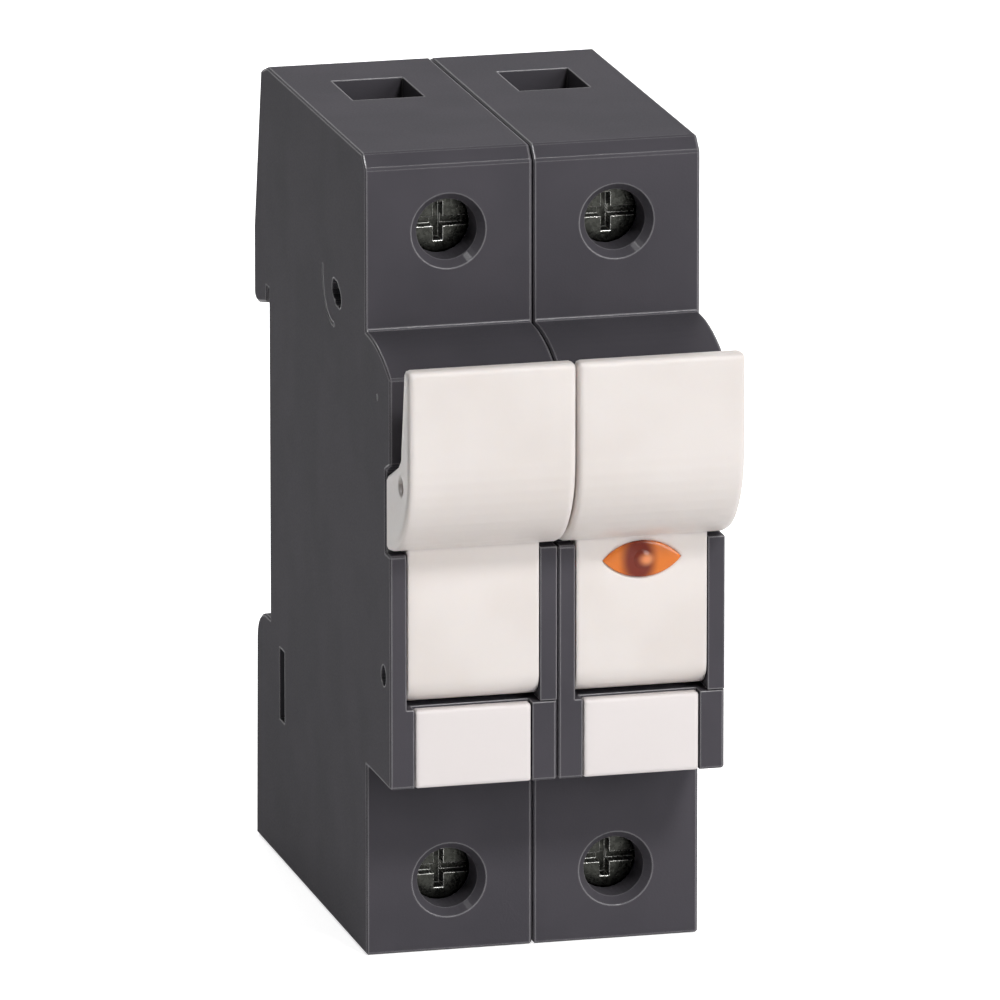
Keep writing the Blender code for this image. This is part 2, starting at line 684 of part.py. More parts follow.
def rear_rooms(centre):
    """The hollow rooms behind the carrier, with ribs between them."""
    front_y = HINGE_Y + math.hypot(
        FUSE_FOOT_Y + FUSE_RADIUS - HINGE_Y, FUSE_FOOT_Z - HINGE_Z) + 2 * SEAT_GAP + WALL
    low_z = FOOT_TOP_Z - LATCH_SHOULDER + WALL
    pitch = (UPPER_RUN_Z - SEAT_GAP - low_z) / REAR_ROOMS
    return [chamber("rear_room", rectangle(front_y, low_z + i * pitch,
                                           -WALL, low_z + (i + 1) * pitch - WALL), centre)
            for i in range(REAR_ROOMS)]


def latch_room(centre):
    front_y = LATCH_FRONT_Y - SEAT_GAP
    back_y = LATCH_BACK_Y + SEAT_GAP
    outline = [
        (front_y, BOTTOM_Z - WALL), (back_y, BOTTOM_Z - WALL),
        (back_y, FOOT_TOP_Z + LATCH_NOSE), (RAIL_THICKNESS, FOOT_TOP_Z + LATCH_NOSE),
        (RAIL_THICKNESS, FOOT_TOP_Z - LATCH_SHOULDER), (front_y, FOOT_TOP_Z - LATCH_SHOULDER),
    ]
    return chamber("latch_room", outline, centre)


def rivet_cutters(outer_low, outer_high):
    """Holes for the three pole rivets between two planes across X."""
    tools = []
    for y, z, through in RIVET_PLACES.values():
        low = outer_low if through else max(outer_low, -POLE_PITCH + BLIND_SKIN)
        tools.append(rod("rivet_hole", (low, y, z), (outer_high, y, z),
                         RIVET_RADIUS + PIN_CLEARANCE, sides=20))
    return tools


def hinge_hole(low, high):
    return rod("hinge_hole", (low, HINGE_Y, HINGE_Z), (high, HINGE_Y, HINGE_Z),
               HINGE_PIN_RADIUS + PIN_CLEARANCE, sides=20)


def marker_cutters(centre):
    """The open recess for the marker plate and the slot for its peg."""
    half = MARKER_WIDTH / 2 + SEAM_GAP
    recess = block("marker_recess",
                   (centre - half, NOSE_FACE_Y - WALL, NOSE_BOTTOM_Z - WALL),
                   (centre + half, NOSE_FACE_Y + MARKER_THICKNESS + SEAT_GAP, SILL_Z + WALL))
    width, depth, height = MARKER_PEG
    middle = (NOSE_BOTTOM_Z + SILL_Z) / 2
    slot = block("peg_slot",
                 (centre - width / 2 - SEAM_GAP, NOSE_FACE_Y, middle - height / 2 - SEAM_GAP),
                 (centre + width / 2 + SEAM_GAP, NOSE_FACE_Y + MARKER_THICKNESS + depth + SEAT_GAP,
                  middle + height / 2 + SEAM_GAP))
    return [recess, slot]


def outer_wall_cutters(centre):
    """Mouth of the upper rivet's hole and the shallow marks round it, on the -X side."""
    low, face = centre - POLE_HALF - WALL, centre - POLE_HALF
    y, z, _ = RIVET_PLACES["upper"]
    mouth = flat_solid("rivet_mouth", "YZ", slot_outline((y, z), MOUTH_HALF, MOUTH_RADIUS, MOUTH_TILT),
                       low, face + MOUTH_DEPTH)
    half = CRESCENT_WIDTH / 2
    crescent = flat_solid("crescent", "YZ", [
        *arc(CRESCENT_PLACE, CRESCENT_RADIUS + half, -95, 10, 8),
        *arc(CRESCENT_PLACE, CRESCENT_RADIUS - half, 10, -95, 8)], low, face + CRESCENT_DEPTH)
    dot = rod("dot", (low, *DOT_PLACE), (face + CRESCENT_DEPTH, *DOT_PLACE), DOT_RADIUS, sides=10)
    return [mouth, crescent, dot]


def make_case(pole, centre, looks):
    case = flat_solid("case", "YZ", case_outline(), centre - POLE_HALF, centre + POLE_HALF)
    soften(case, EDGE_ROUND, segments=1)
    if pole == "neutral":
        cut(case, *outer_wall_cutters(centre))
    mouth = [(NOSE_FACE_Y - WALL, SILL_Z), (NOSE_FACE_Y - WALL, BROW_Z)]
    pocket = flat_solid("cover_pocket", "YZ", cover_outline(0, mouth),
                        centre + WINDOW_HALF - SEAM_GAP, centre + POLE_HALF + WALL)
    low_x, high_x = centre - POLE_HALF - WALL, centre + POLE_HALF + WALL
    cut(case, pocket, carrier_room(centre),
        *terminal_cutters(centre, UPPER_SCREW_Z, 1),
        *terminal_cutters(centre, LOWER_SCREW_Z, -1),
        chamber("upper_slot", upper_strip_outline(SEAT_GAP), centre, STRIP_HALF + SEAT_GAP),
        chamber("lower_slot", lower_strip_outline(SEAT_GAP), centre, STRIP_HALF + SEAT_GAP),
        *rear_rooms(centre), latch_room(centre), *marker_cutters(centre),
        *rivet_cutters(low_x, high_x), hinge_hole(low_x, centre + WINDOW_HALF))
    peg = block("spring_peg",
                (centre - SPRING_RADIUS, LATCH_FRONT_Y - SEAT_GAP - WALL, PEG_TOP_Z - PEG_THICKNESS),
                (centre + SPRING_RADIUS, LATCH_BACK_Y - SEAT_GAP, PEG_TOP_Z))
    join(case, peg)
    groove = block("side_groove",
                   (low_x, GROOVE_Y - GROOVE_WIDTH / 2, GROOVE_LOW_Z),
                   (centre - POLE_HALF + GROOVE_DEPTH, GROOVE_Y + GROOVE_WIDTH / 2, GROOVE_HIGH_Z))
    cut(case, groove)
    return finish(case, f"{pole}_case", looks["case"], (centre, 0, 0))


def make_cover(pole, centre, looks):
    tongue = [(NOSE_FACE_Y, SILL_Z + SEAM_GAP), *lap_points(NOSE_FACE_Y),
              (NOSE_FACE_Y, BROW_Z - SEAM_GAP)]
    cover = flat_solid("cover", "YZ", cover_outline(SEAM_GAP, tongue),
                       centre + WINDOW_HALF, centre + POLE_HALF)
    high_x = centre + POLE_HALF + WALL
    cut(cover, *rivet_cutters(centre, high_x), hinge_hole(centre, high_x))
    return finish(cover, f"{pole}_cover", looks["case"], (centre, 0, 0))


def handle_outline():
    """Handle and its root seen from the side: a round lower front and a finger gap behind."""
    round_z = LAP_LOW_Z + SEAT_GAP + HANDLE_ROUND
    centre = (HANDLE_FACE_Y + HANDLE_ROUND, round_z)
    root_y = LAP_Y - SEAT_GAP
    end = -90 - math.degrees(math.asin(max(0.0, min(1.0, (centre[0] - root_y) / HANDLE_ROUND))))
    gap_front_y = HANDLE_FACE_Y + HANDLE_ROOT_THICKNESS
    return [
        (HANDLE_FACE_Y, HANDLE_TOP_Z),
        *arc(centre, HANDLE_ROUND, 180, 360 + end, 12),
        (root_y, FINGER_FLOOR_BACK_Z),
        (gap_front_y + FINGER_FLOOR_EASE, FINGER_FLOOR_FRONT_Z),
        (gap_front_y, FINGER_FLOOR_FRONT_Z + FINGER_FLOOR_EASE),
        (HANDLE_FACE_Y + HANDLE_TIP_THICKNESS, HANDLE_TOP_Z),
    ]


def cradle_outline():
    """Cheeks of the cradle: a sector about the hinge, behind the panel."""
    low = 180 - math.degrees(math.asin(-HINGE_SETBACK / CRADLE_REACH))
    high = 180 - math.degrees(math.asin((LENS_Z + LENS_HALF_HEIGHT - HINGE_Z) / CRADLE_REACH))
    sweep = [(2 * HINGE_Y - y, z) for y, z in
             arc((HINGE_Y, HINGE_Z), CRADLE_REACH, low, high, 8)]
    in_panel = NOSE_FACE_Y + PANEL_THICKNESS / 2
    return [(HINGE_Y, HINGE_Z - HINGE_SETBACK), *sweep,
            (in_panel, sweep[-1][1]), (in_panel, HINGE_Z)]


def lens_outline(centre, grow):
    """An almond of two arcs that meet in points."""
    half = LENS_HALF_LENGTH + grow
    rise = LENS_HALF_HEIGHT + grow
    radius = (half ** 2 + rise ** 2) / (2 * rise)
    spread = math.degrees(math.asin(half / radius))
    top = arc((centre, LENS_Z - radius + rise), radius, 90 - spread, 90 + spread, 10)
    low = arc((centre, LENS_Z + radius - rise), radius, 270 - spread, 270 + spread, 10)
    return top[:-1] + low[:-1]


def fuse_rod(name, centre, radius, start, end, sides=32):
    base = Vector((centre, 0, 0)) + FUSE_FOOT
    return rod(name, base + FUSE_UP * start, base + FUSE_UP * end, radius, sides=sides)


def lead_side(centre):
    """The lower lead's line beside the fuse, where it would meet the fuse's lower end."""
    reach = FUSE_RADIUS + LEAD_END_GAP + LEAD_RADIUS
    across = Vector((reach * math.sin(LEAD_TURN), 0, 0))
    return Vector((centre, 0, 0)) + FUSE_FOOT + across - FUSE_BACK * reach * math.cos(LEAD_TURN)


def make_carrier(pole, centre, looks):
    handle = flat_solid("handle", "YZ", handle_outline(),
                        centre - POLE_PITCH / 2 + HANDLE_GAP / 2,
                        centre + POLE_PITCH / 2 - HANDLE_GAP / 2)
    soften(handle, HANDLE_ROUND_EDGE)
    back_of_panel = NOSE_FACE_Y + PANEL_THICKNESS
    panel = rectangle(NOSE_FACE_Y, HINGE_Z, back_of_panel, BROW_Z - SEAT_GAP)
    low, high = centre - PANEL_HALF, centre + PANEL_HALF
    carrier = flat_solid("panel", "YZ", panel, low, high)
    cradle = flat_solid("cradle", "YZ", cradle_outline(), centre - CRADLE_HALF, centre + CRADLE_HALF)
    barrel = rod("barrel", (low, HINGE_Y, HINGE_Z), (high, HINGE_Y, HINGE_Z),
                 HINGE_SETBACK, sides=40)
    join(carrier, cradle, barrel, handle)
    pocket_front = back_of_panel - POCKET_BITE
    pocket_low = LENS_Z - RESISTOR_DROP - RESISTOR_RADIUS - SEAT_GAP
    pocket_high = LENS_Z + LENS_HALF_HEIGHT + WALL
    pocket = block("lamp_pocket", (centre - POCKET_HALF, pocket_front, pocket_low),
                   (centre + POCKET_HALF, FUSE_FOOT_Y, pocket_high))
    cut(carrier,
        fuse_rod("fuse_bed", centre, FUSE_RADIUS + FUSE_PLAY, -FUSE_LENGTH, 2 * FUSE_LENGTH, 40),
        pocket,
        rod("pin_bore", (low - WALL, HINGE_Y, HINGE_Z), (high + WALL, HINGE_Y, HINGE_Z),
            HINGE_PIN_RADIUS + PIN_CLEARANCE, sides=20),
        rod("tie_bore", (centre - POLE_PITCH, TERMINAL_FACE_Y - TIE_PIN_RISE, TIE_PIN_Z),
            (centre + POLE_PITCH, TERMINAL_FACE_Y - TIE_PIN_RISE, TIE_PIN_Z),
            TIE_PIN_RADIUS + PIN_CLEARANCE, sides=20))
    if pole == "phase":
        side = lead_side(centre)
        cut(carrier, flat_solid("lens_hole", "XZ", lens_outline(centre, LENS_GAP),
                                NOSE_FACE_Y - WALL, pocket_front + WALL),
            rod("lead_channel", side + FUSE_UP * LEAD_CHANNEL_LOW,
                side + FUSE_UP * LEAD_CHANNEL_HIGH, LEAD_CHANNEL_RADIUS, sides=12))
    return finish(carrier, f"{pole}_carrier", looks["carrier"], (centre, HINGE_Y, HINGE_Z))


def make_hinge_pin(pole, centre, looks):
    reach = POLE_HALF - WALL / 2
    pin = rod("pin", (centre - reach, HINGE_Y, HINGE_Z), (centre + reach, HINGE_Y, HINGE_Z),
              HINGE_PIN_RADIUS, sides=20)
    return finish(pin, f"{pole}_hinge_pin", looks["pin"], (centre, HINGE_Y, HINGE_Z))


def make_tie_pin(looks):
    reach = POLE_PITCH - TIE_PIN_RECESS
    y = TERMINAL_FACE_Y - TIE_PIN_RISE
    pin = rod("tie", (-reach, y, TIE_PIN_Z), (reach, y, TIE_PIN_Z), TIE_PIN_RADIUS, sides=20)
    return finish(pin, "handle_tie_pin", looks["pin"], (0, HINGE_Y, HINGE_Z))


def make_marker(pole, centre, looks):
    plate = block("plate",
                  (centre - MARKER_WIDTH / 2, NOSE_FACE_Y, NOSE_BOTTOM_Z),
                  (centre + MARKER_WIDTH / 2, NOSE_FACE_Y + MARKER_THICKNESS,
                   SILL_Z - MARKER_TOP_GAP))
    soften(plate, MARKER_ROUND)
    width, depth, height = MARKER_PEG
    middle = (NOSE_BOTTOM_Z + SILL_Z) / 2
    peg = block("peg", (centre - width / 2, NOSE_FACE_Y + MARKER_THICKNESS / 2, middle - height / 2),
                (centre + width / 2, NOSE_FACE_Y + MARKER_THICKNESS + depth, middle + height / 2))
    join(plate, peg)
    return finish(plate, f"{pole}_marker", looks["marker"], (centre, NOSE_FACE_Y, middle))


def make_screw(pole, end, centre, screw_z, looks):
    length = SCREW_TIP_Y - HEAD_FRONT_Y
    profile = [
        (0, 0), (HEAD_RADIUS - SCREW_CHAMFER, 0), (HEAD_RADIUS, SCREW_CHAMFER),
        (HEAD_RADIUS, HEAD_THICKNESS - SCREW_CHAMFER),
        (HEAD_RADIUS - SCREW_CHAMFER, HEAD_THICKNESS),
        (SHANK_RADIUS, HEAD_THICKNESS), (SHANK_RADIUS, length - SCREW_CHAMFER),
        (SHANK_RADIUS - SCREW_CHAMFER, length), (0, length),
    ]
    head = (centre, HEAD_FRONT_Y, screw_z)
    screw = turned("screw", profile, head, (0, 1, 0), sides=24)
    slot = block("slot", (centre - HEAD_RADIUS - WALL, HEAD_FRONT_Y - WALL, screw_z - SLOT_WIDTH / 2),
                 (centre + HEAD_RADIUS + WALL, HEAD_FRONT_Y + SLOT_DEPTH, screw_z + SLOT_WIDTH / 2))
    cross = block("cross", (centre - SLOT_WIDTH / 2, HEAD_FRONT_Y - WALL, screw_z - CROSS_LENGTH / 2),
                  (centre + SLOT_WIDTH / 2, HEAD_FRONT_Y + CROSS_DEPTH, screw_z + CROSS_LENGTH / 2))
    cut(screw, slot, cross)
    return finish(screw, f"{pole}_{end}_screw", looks["steel"], head)


def make_clamp(pole, end, centre, screw_z, looks):
    outer = rounded_rectangle(centre - CLAMP_HALF, CLAMP_FRONT_Y, centre + CLAMP_HALF, CLAMP_BACK_Y,
                              CLAMP_ROUND)
    inner_half = CLAMP_HALF - CLAMP_SIDE
    inner = rectangle(centre - inner_half, CLAMP_FRONT_Y + CLAMP_NUT,
                      centre + inner_half, CLAMP_BACK_Y - CLAMP_BACK)
    clamp = flat_solid("clamp", "XY", outer, screw_z - CLAMP_HEIGHT / 2,
                       screw_z + CLAMP_HEIGHT / 2, holes=[inner])
    bore = rod("thread", (centre, CLAMP_FRONT_Y - WALL, screw_z),
               (centre, CLAMP_FRONT_Y + CLAMP_NUT + WALL, screw_z),
               SHANK_RADIUS + THREAD_CLEARANCE, sides=28)
    cut(clamp, bore)
    return finish(clamp, f"{pole}_{end}_clamp", looks["steel"], (centre, CLAMP_FRONT_Y, screw_z))


def jaw_outline(centre, base, tip):
    """A U across the fuse: a web from its base and two leaves that reach to the tip."""
    inner = FUSE_RADIUS + JAW_GAP
    outer = inner + JAW_LEAF
    web = base + math.copysign(STRIP_THICKNESS + 2 * JAW_MARGIN, tip - base)
    return [(centre - outer, base), (centre + outer, base), (centre + outer, tip),
            (centre + inner, tip), (centre + inner, web), (centre - inner, web),
            (centre - inner, tip), (centre - outer, tip)]


def make_upper_contact(pole, centre, looks):
    start, near = upper_jaw_base()
    strip = flat_solid("strip", "YZ", upper_strip_outline(), centre - STRIP_HALF, centre + STRIP_HALF)
    outline = jaw_outline(centre, near + STRIP_THICKNESS + JAW_MARGIN, -JAW_REACH)
    jaw = flat_solid("jaw", "XY", outline, start + JAW_MARGIN, FUSE_LENGTH - JAW_MARGIN)
    lean = Matrix.Translation(FUSE_FOOT) @ Matrix.Rotation(FUSE_LEAN, 4, "X")
    jaw.data.transform(lean)
    join(strip, jaw)
    return finish(strip, f"{pole}_upper_contact", looks["strip"], (centre, 0, 0))


def make_lower_contact(pole, centre, looks):
    strip = flat_solid("strip", "YZ", lower_strip_outline(), centre - STRIP_HALF, centre + STRIP_HALF)
    base = LOWER_RUN_TOP_Z - STRIP_THICKNESS - JAW_MARGIN
    outline = jaw_outline(centre, base, LOWER_RUN_TOP_Z + JAW_LENGTH)
    jaw = flat_solid("jaw", "XZ", outline, FUSE_FOOT_Y - FUSE_RADIUS + JAW_MARGIN,
                     FUSE_FOOT_Y + JAW_REACH)
    join(strip, jaw)
    return finish(strip, f"{pole}_lower_contact", looks["strip"], (centre, 0, 0))


def make_link(looks):
    """The neutral pole's solid link: a plain tube the size of a fuse."""
    profile = [
        (LINK_BORE_RADIUS, 0), (FUSE_RADIUS - CAP_LIP, 0), (FUSE_RADIUS, CAP_LIP),
        (FUSE_RADIUS, FUSE_LENGTH - CAP_LIP), (FUSE_RADIUS - CAP_LIP, FUSE_LENGTH),
        (LINK_BORE_RADIUS, FUSE_LENGTH),
    ]
    base = Vector((POLES["neutral"], 0, 0)) + FUSE_FOOT
    link = turned("link", profile, base, FUSE_UP, sides=32)
    return finish(link, "neutral_link", looks["ferrule"], (base.x, HINGE_Y, HINGE_Z))


def make_fuse(looks):
    base = Vector((POLES["phase"], 0, 0)) + FUSE_FOOT
    hinge = (base.x, HINGE_Y, HINGE_Z)
    neck = FUSE_RADIUS - CAP_WALL - CAP_GAP
    body = FUSE_RADIUS - CAP_WALL / 2
    inset = CAP_WALL + CAP_GAP
    shoulder = FERRULE_LENGTH + CAP_GAP
    profile = [
        (0, inset), (neck, inset), (neck, shoulder), (body, shoulder),
        (body, FUSE_LENGTH - shoulder), (neck, FUSE_LENGTH - shoulder),
        (neck, FUSE_LENGTH - inset), (0, FUSE_LENGTH - inset),
    ]
    finish(turned("tube", profile, base, FUSE_UP, sides=32), "fuse_tube", looks["ceramic"], hinge)
    cap = [
        (0, 0), (FUSE_RADIUS - CAP_LIP, 0), (FUSE_RADIUS, CAP_LIP), (FUSE_RADIUS, FERRULE_LENGTH),
        (FUSE_RADIUS - CAP_WALL, FERRULE_LENGTH), (FUSE_RADIUS - CAP_WALL, CAP_WALL), (0, CAP_WALL),
    ]
    ends = {"lower": (base, FUSE_UP), "upper": (base + FUSE_UP * FUSE_LENGTH, -FUSE_UP)}
    for end, (start, direction) in ends.items():
        finish(turned("cap", cap, start, direction, sides=32), f"fuse_{end}_cap",
               looks["ferrule"], hinge)


def lamp_profile():
    """A small neon lamp's glass, with domed ends."""
    dome = [(LAMP_RADIUS * math.cos(math.radians(a)), LAMP_END * math.sin(math.radians(a)))
            for a in (0, 30, 60)]
    middle = LAMP_HALF - LAMP_END
    low = [(radius, -middle - along) for radius, along in reversed(dome)]
    high = [(radius, middle + along) for radius, along in dome]
    return [(0, -LAMP_HALF), *low, *high, (0, LAMP_HALF)]


def resistor_profile():
    """A resistor's body: two round-edged end beads and a waist between them."""
    bead = [(RESISTOR_WAIST_RADIUS, RESISTOR_HALF),
            (RESISTOR_RADIUS, RESISTOR_HALF - RESISTOR_ROUND),
            (RESISTOR_RADIUS, RESISTOR_HALF - RESISTOR_CAP),
            (RESISTOR_WAIST_RADIUS, RESISTOR_HALF - RESISTOR_CAP - RESISTOR_ROUND)]
    low = [(radius, -along) for radius, along in bead]
    return [(0, -RESISTOR_HALF), *low, *reversed(bead), (0, RESISTOR_HALF)]


def make_indicator(looks):
    centre = POLES["phase"]
    hinge = (centre, HINGE_Y, HINGE_Z)
    lens = flat_solid("lens", "XZ", lens_outline(centre, 0), NOSE_FACE_Y - LENS_PROUD,
                      NOSE_FACE_Y + PANEL_THICKNESS)
    dome = rod("dome", (centre, NOSE_FACE_Y + PANEL_THICKNESS / 2, LENS_Z),
               (centre, NOSE_FACE_Y - 2 * LENS_PROUD, LENS_Z),
               LENS_DOME_RADIUS, LENS_DOME_TOP_RADIUS, sides=20)
    join(lens, dome)
    finish(lens, "indicator_lens", looks["lens"], hinge)
    lamp_y = NOSE_FACE_Y + PANEL_THICKNESS + LAMP_BEHIND_PANEL
    finish(turned("lamp", lamp_profile(), (centre, lamp_y, LENS_Z), (1, 0, 0), sides=16),
           "indicator_lamp", looks["glass"], hinge)
    resistor_at = (centre, lamp_y, LENS_Z - RESISTOR_DROP)
    finish(turned("resistor", resistor_profile(), resistor_at, (1, 0, 0), sides=16),
           "indicator_resistor", looks["resistor"], hinge)
    make_leads(centre, lamp_y, looks)


def make_leads(centre, lamp_y, looks):
    """Wires from the lamp up to the fuse's upper cap and from the resistor to the lower one."""
    hinge = (centre, HINGE_Y, HINGE_Z)
    left = centre - LEAD_SIDE
    cap = Vector((centre, 0, 0)) + FUSE_FOOT + FUSE_UP * (FUSE_LENGTH - LEAD_BELOW_FUSE_TOP)
    touch = cap - FUSE_BACK * (FUSE_RADIUS + LEAD_END_GAP + LEAD_RADIUS)
    upper = [(left, lamp_y, LENS_Z), (left, lamp_y, LENS_Z + LAMP_HALF),
             (left + LAMP_RADIUS / 2, lamp_y, touch.z - LAMP_RADIUS), tuple(touch)]
    finish(wire("lead", upper, LEAD_RADIUS), "indicator_upper_lead", looks["strip"], hinge)
    right = centre + LEAD_SIDE
    side = lead_side(centre)
    resistor_z = LENS_Z - RESISTOR_DROP
    lower = [(right, lamp_y, resistor_z), (right, lamp_y + LAMP_RADIUS, resistor_z),
             tuple(side + FUSE_UP * LEAD_CHANNEL_HIGH), tuple(side + FUSE_UP * LEAD_CHANNEL_LOW)]
    finish(wire("lead", lower, LEAD_RADIUS), "indicator_lower_lead", looks["strip"], hinge)


def latch_outline():
    nose_front = SLOT_BACK_Y
    nose_top = FOOT_TOP_Z + LATCH_NOSE
    return [
        (LATCH_FRONT_Y, LATCH_END_Z), (LATCH_BACK_Y, LATCH_END_Z),
        (LATCH_BACK_Y, FOOT_TOP_Z - LATCH_NOSE), (nose_front + LATCH_LEAD_IN, nose_top),
        (nose_front, nose_top - LATCH_TIP_ROUND),
        (nose_front, FOOT_TOP_Z - LATCH_SHOULDER - SEAT_GAP),
        (LATCH_FRONT_Y, FOOT_TOP_Z - LATCH_SHOULDER - SEAT_GAP),
    ]


def make_latch(pole, centre, looks):
    latch = flat_solid("latch", "YZ", latch_outline(), centre - LATCH_HALF, centre + LATCH_HALF)
    low_z = PEG_TOP_Z - PEG_THICKNESS - SEAT_GAP
    window = block("window",
                   (centre - LATCH_WINDOW_HALF, LATCH_FRONT_Y - WALL, low_z),
                   (centre + LATCH_WINDOW_HALF, LATCH_BACK_Y + WALL, LATCH_WINDOW_TOP_Z))
    cut(latch, window)
    return finish(latch, f"{pole}_rail_latch", looks["case"], (centre, 0, 0))


def make_spring(pole, centre, looks):
    y = (LATCH_FRONT_Y + LATCH_BACK_Y) / 2
    low = PEG_TOP_Z + SEAT_GAP + SPRING_WIRE
    high = LATCH_WINDOW_TOP_Z - SEAT_GAP - SPRING_WIRE
    steps = round(SPRING_TURNS * 10)
    points = []
    for i in range(steps + 1):
        angle = 2 * math.pi * SPRING_TURNS * i / steps
        points.append((centre + SPRING_RADIUS * math.cos(angle), y + SPRING_RADIUS * math.sin(angle),
                       low + (high - low) * i / steps))
    spring = wire("coil", points, SPRING_WIRE)
    return finish(spring, f"{pole}_latch_spring", looks["steel"], (centre, y, low))


def make_rivets(looks):
    for end, (y, z, through) in RIVET_PLACES.items():
        low = -POLE_PITCH + (RIVET_SINK if through else BLIND_SKIN + SEAT_GAP)
        high = POLE_PITCH - RIVET_RECESS
        rivet = rod("rivet", (low, y, z), (high, y, z), RIVET_RADIUS, sides=20)
        finish(rivet, f"pole_rivet_{end}", looks["pin"], (0, y, z))


def build():
    clear_scene()
    looks = make_materials()
    for pole, centre in POLES.items():
        make_case(pole, centre, looks)
        make_cover(pole, centre, looks)
        make_carrier(pole, centre, looks)
        make_hinge_pin(pole, centre, looks)
        make_marker(pole, centre, looks)
        for end, screw_z in (("upper", UPPER_SCREW_Z), ("lower", LOWER_SCREW_Z)):
            make_screw(pole, end, centre, screw_z, looks)
            make_clamp(pole, end, centre, screw_z, looks)
        make_upper_contact(pole, centre, looks)
        make_lower_contact(pole, centre, looks)
        make_latch(pole, centre, looks)
        make_spring(pole, centre, looks)
    make_tie_pin(looks)
    make_link(looks)
    make_fuse(looks)
    make_indicator(looks)
    make_rivets(looks)


build()
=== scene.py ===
"""Looks of a two-pole fuse holder: its mouldings, metalwork, indicator and a plain studio.

Every piece is made in metres in the frame of the CAD model: +X across the poles, +Y from
the front to the mounting rail and +Z up, with the origin under the middle of the base.
"""
import math

import bmesh
import bpy
from bpy.props import FloatProperty, FloatVectorProperty, PointerProperty
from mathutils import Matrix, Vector


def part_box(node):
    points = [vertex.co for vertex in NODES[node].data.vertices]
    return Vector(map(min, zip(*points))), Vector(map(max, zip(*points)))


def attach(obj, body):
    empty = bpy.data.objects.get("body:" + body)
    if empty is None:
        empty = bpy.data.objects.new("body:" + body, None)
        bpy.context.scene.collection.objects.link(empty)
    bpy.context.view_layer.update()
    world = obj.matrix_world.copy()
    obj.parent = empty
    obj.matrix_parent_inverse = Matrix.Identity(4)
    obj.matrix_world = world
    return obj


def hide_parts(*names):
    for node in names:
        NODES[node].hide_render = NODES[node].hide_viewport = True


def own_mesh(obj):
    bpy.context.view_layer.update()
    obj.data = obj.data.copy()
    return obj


bl_info = {
    "name": "Fuse Holder Looks",
    "version": (1, 0, 0),
    "blender": (4, 5, 0),
    "location": "3D View > Sidebar > Fuse Holder",
    "description": "Dresses a rail-mounted fuse holder in moulded plastic and plated metal",
    "category": "Object",
}

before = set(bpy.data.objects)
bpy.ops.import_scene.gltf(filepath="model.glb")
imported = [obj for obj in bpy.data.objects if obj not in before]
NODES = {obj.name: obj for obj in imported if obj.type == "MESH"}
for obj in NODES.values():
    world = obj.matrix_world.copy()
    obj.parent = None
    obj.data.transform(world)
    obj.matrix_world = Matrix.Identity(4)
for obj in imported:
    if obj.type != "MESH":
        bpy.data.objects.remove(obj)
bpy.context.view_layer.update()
POLES = ("neutral", "phase")
ENDS = ("upper", "lower")
SENSOR_WIDTH_MM = 36.0
SMOOTH_BELOW = math.radians(32)


def colour_property(name, description, default):
    return FloatVectorProperty(
        name=name, description=description, subtype="COLOR", size=3, min=0.0, max=1.0,
        default=default)


def length_property(name, description, default):
    return FloatProperty(name=name, description=description, default=default, min=0.0,
                         unit="LENGTH", precision=5)


def share_property(name, description, default):
    return FloatProperty(name=name, description=description, default=default, min=0.0, max=1.0,
                         subtype="FACTOR")


class MouldingSettings(bpy.types.PropertyGroup):
    """The dark glass-filled plastic of the cases, covers and latches."""

    colour: colour_property("Colour", "Colour of the dark moulding", (0.072, 0.068, 0.078))
    pale: colour_property("Pale Colour", "Colour of its palest patches", (0.080, 0.075, 0.086))
    # The edge colour is a painted highlight: a lighter colour along the small edges where light
    # would catch them.
    edge: colour_property("Edge Colour", "Colour of its rubbed edges", (0.230, 0.222, 0.235))
    roughness: share_property("Roughness", "Roughness of the moulding", 0.62)
    specular: share_property("Specular", "How strongly the moulding's grain reflects", 0.02)
    skin: share_property("Skin", "How strongly its flat faces shine", 0.025)
    edge_skin: share_property("Edge Skin", "How strongly its small edges shine", 0.60)
    skin_roughness: share_property("Skin Roughness", "Roughness of that shine", 0.20)
    grain: length_property("Grain", "Size of the moulding's spark-eroded grain", 0.00022)
    edge_radius: length_property("Edge Radius", "Radius of its small edges", 0.00024)


class CarrierSettings(bpy.types.PropertyGroup):
    """The warm white plastic of the carriers and the marker plates."""

    colour: colour_property("Colour", "Colour of the carriers", (0.82, 0.765, 0.735))
    shade: colour_property("Shade Colour", "Colour of their faint flow marks", (0.78, 0.72, 0.685))
    marker: colour_property("Marker Colour", "Colour of the marker plates", (0.83, 0.775, 0.765))
    roughness: share_property("Roughness", "Roughness of the carriers", 0.38)
    edge_radius: length_property("Edge Radius", "Radius of their soft edges", 0.00060)


class IndicatorSettings(bpy.types.PropertyGroup):
    """The amber window with its lamp and resistor."""

    lens: colour_property("Lens Colour", "Colour of the amber window", (0.79, 0.205, 0.022))
    # The deep colour is painted shade: the dark band where the lamp behind the window would be seen.
    deep: colour_property("Deep Colour", "Colour of the window's dark band", (0.19, 0.016, 0.002))
    # The core colour is a painted glint: a bright spot a little right of the window's middle.
    core: colour_property("Core Colour", "Colour of the window's bright spot", (0.84, 0.29, 0.11))
    # The aside sets how far the painted shade band and the painted glint lie off the middle.
    aside: length_property("Aside", "How far the dark band and the spot lie off the middle", 0.0004)
    glass: colour_property("Glass Colour", "Colour of the lamp's glass", (0.90, 0.62, 0.48))
    resistor: colour_property("Resistor Colour", "Colour of the resistor", (0.46, 0.31, 0.17))
    snug: length_property("Snug", "How far the window fills the gap round it", 0.00013)
    dome_radius: length_property("Dome Radius", "Radius of the dome in the window", 0.00125)
    dome_height: length_property("Dome Height", "How far the dome stands proud", 0.0003)
    crown: length_property("Crown", "How far the window's face swells", 0.0002)


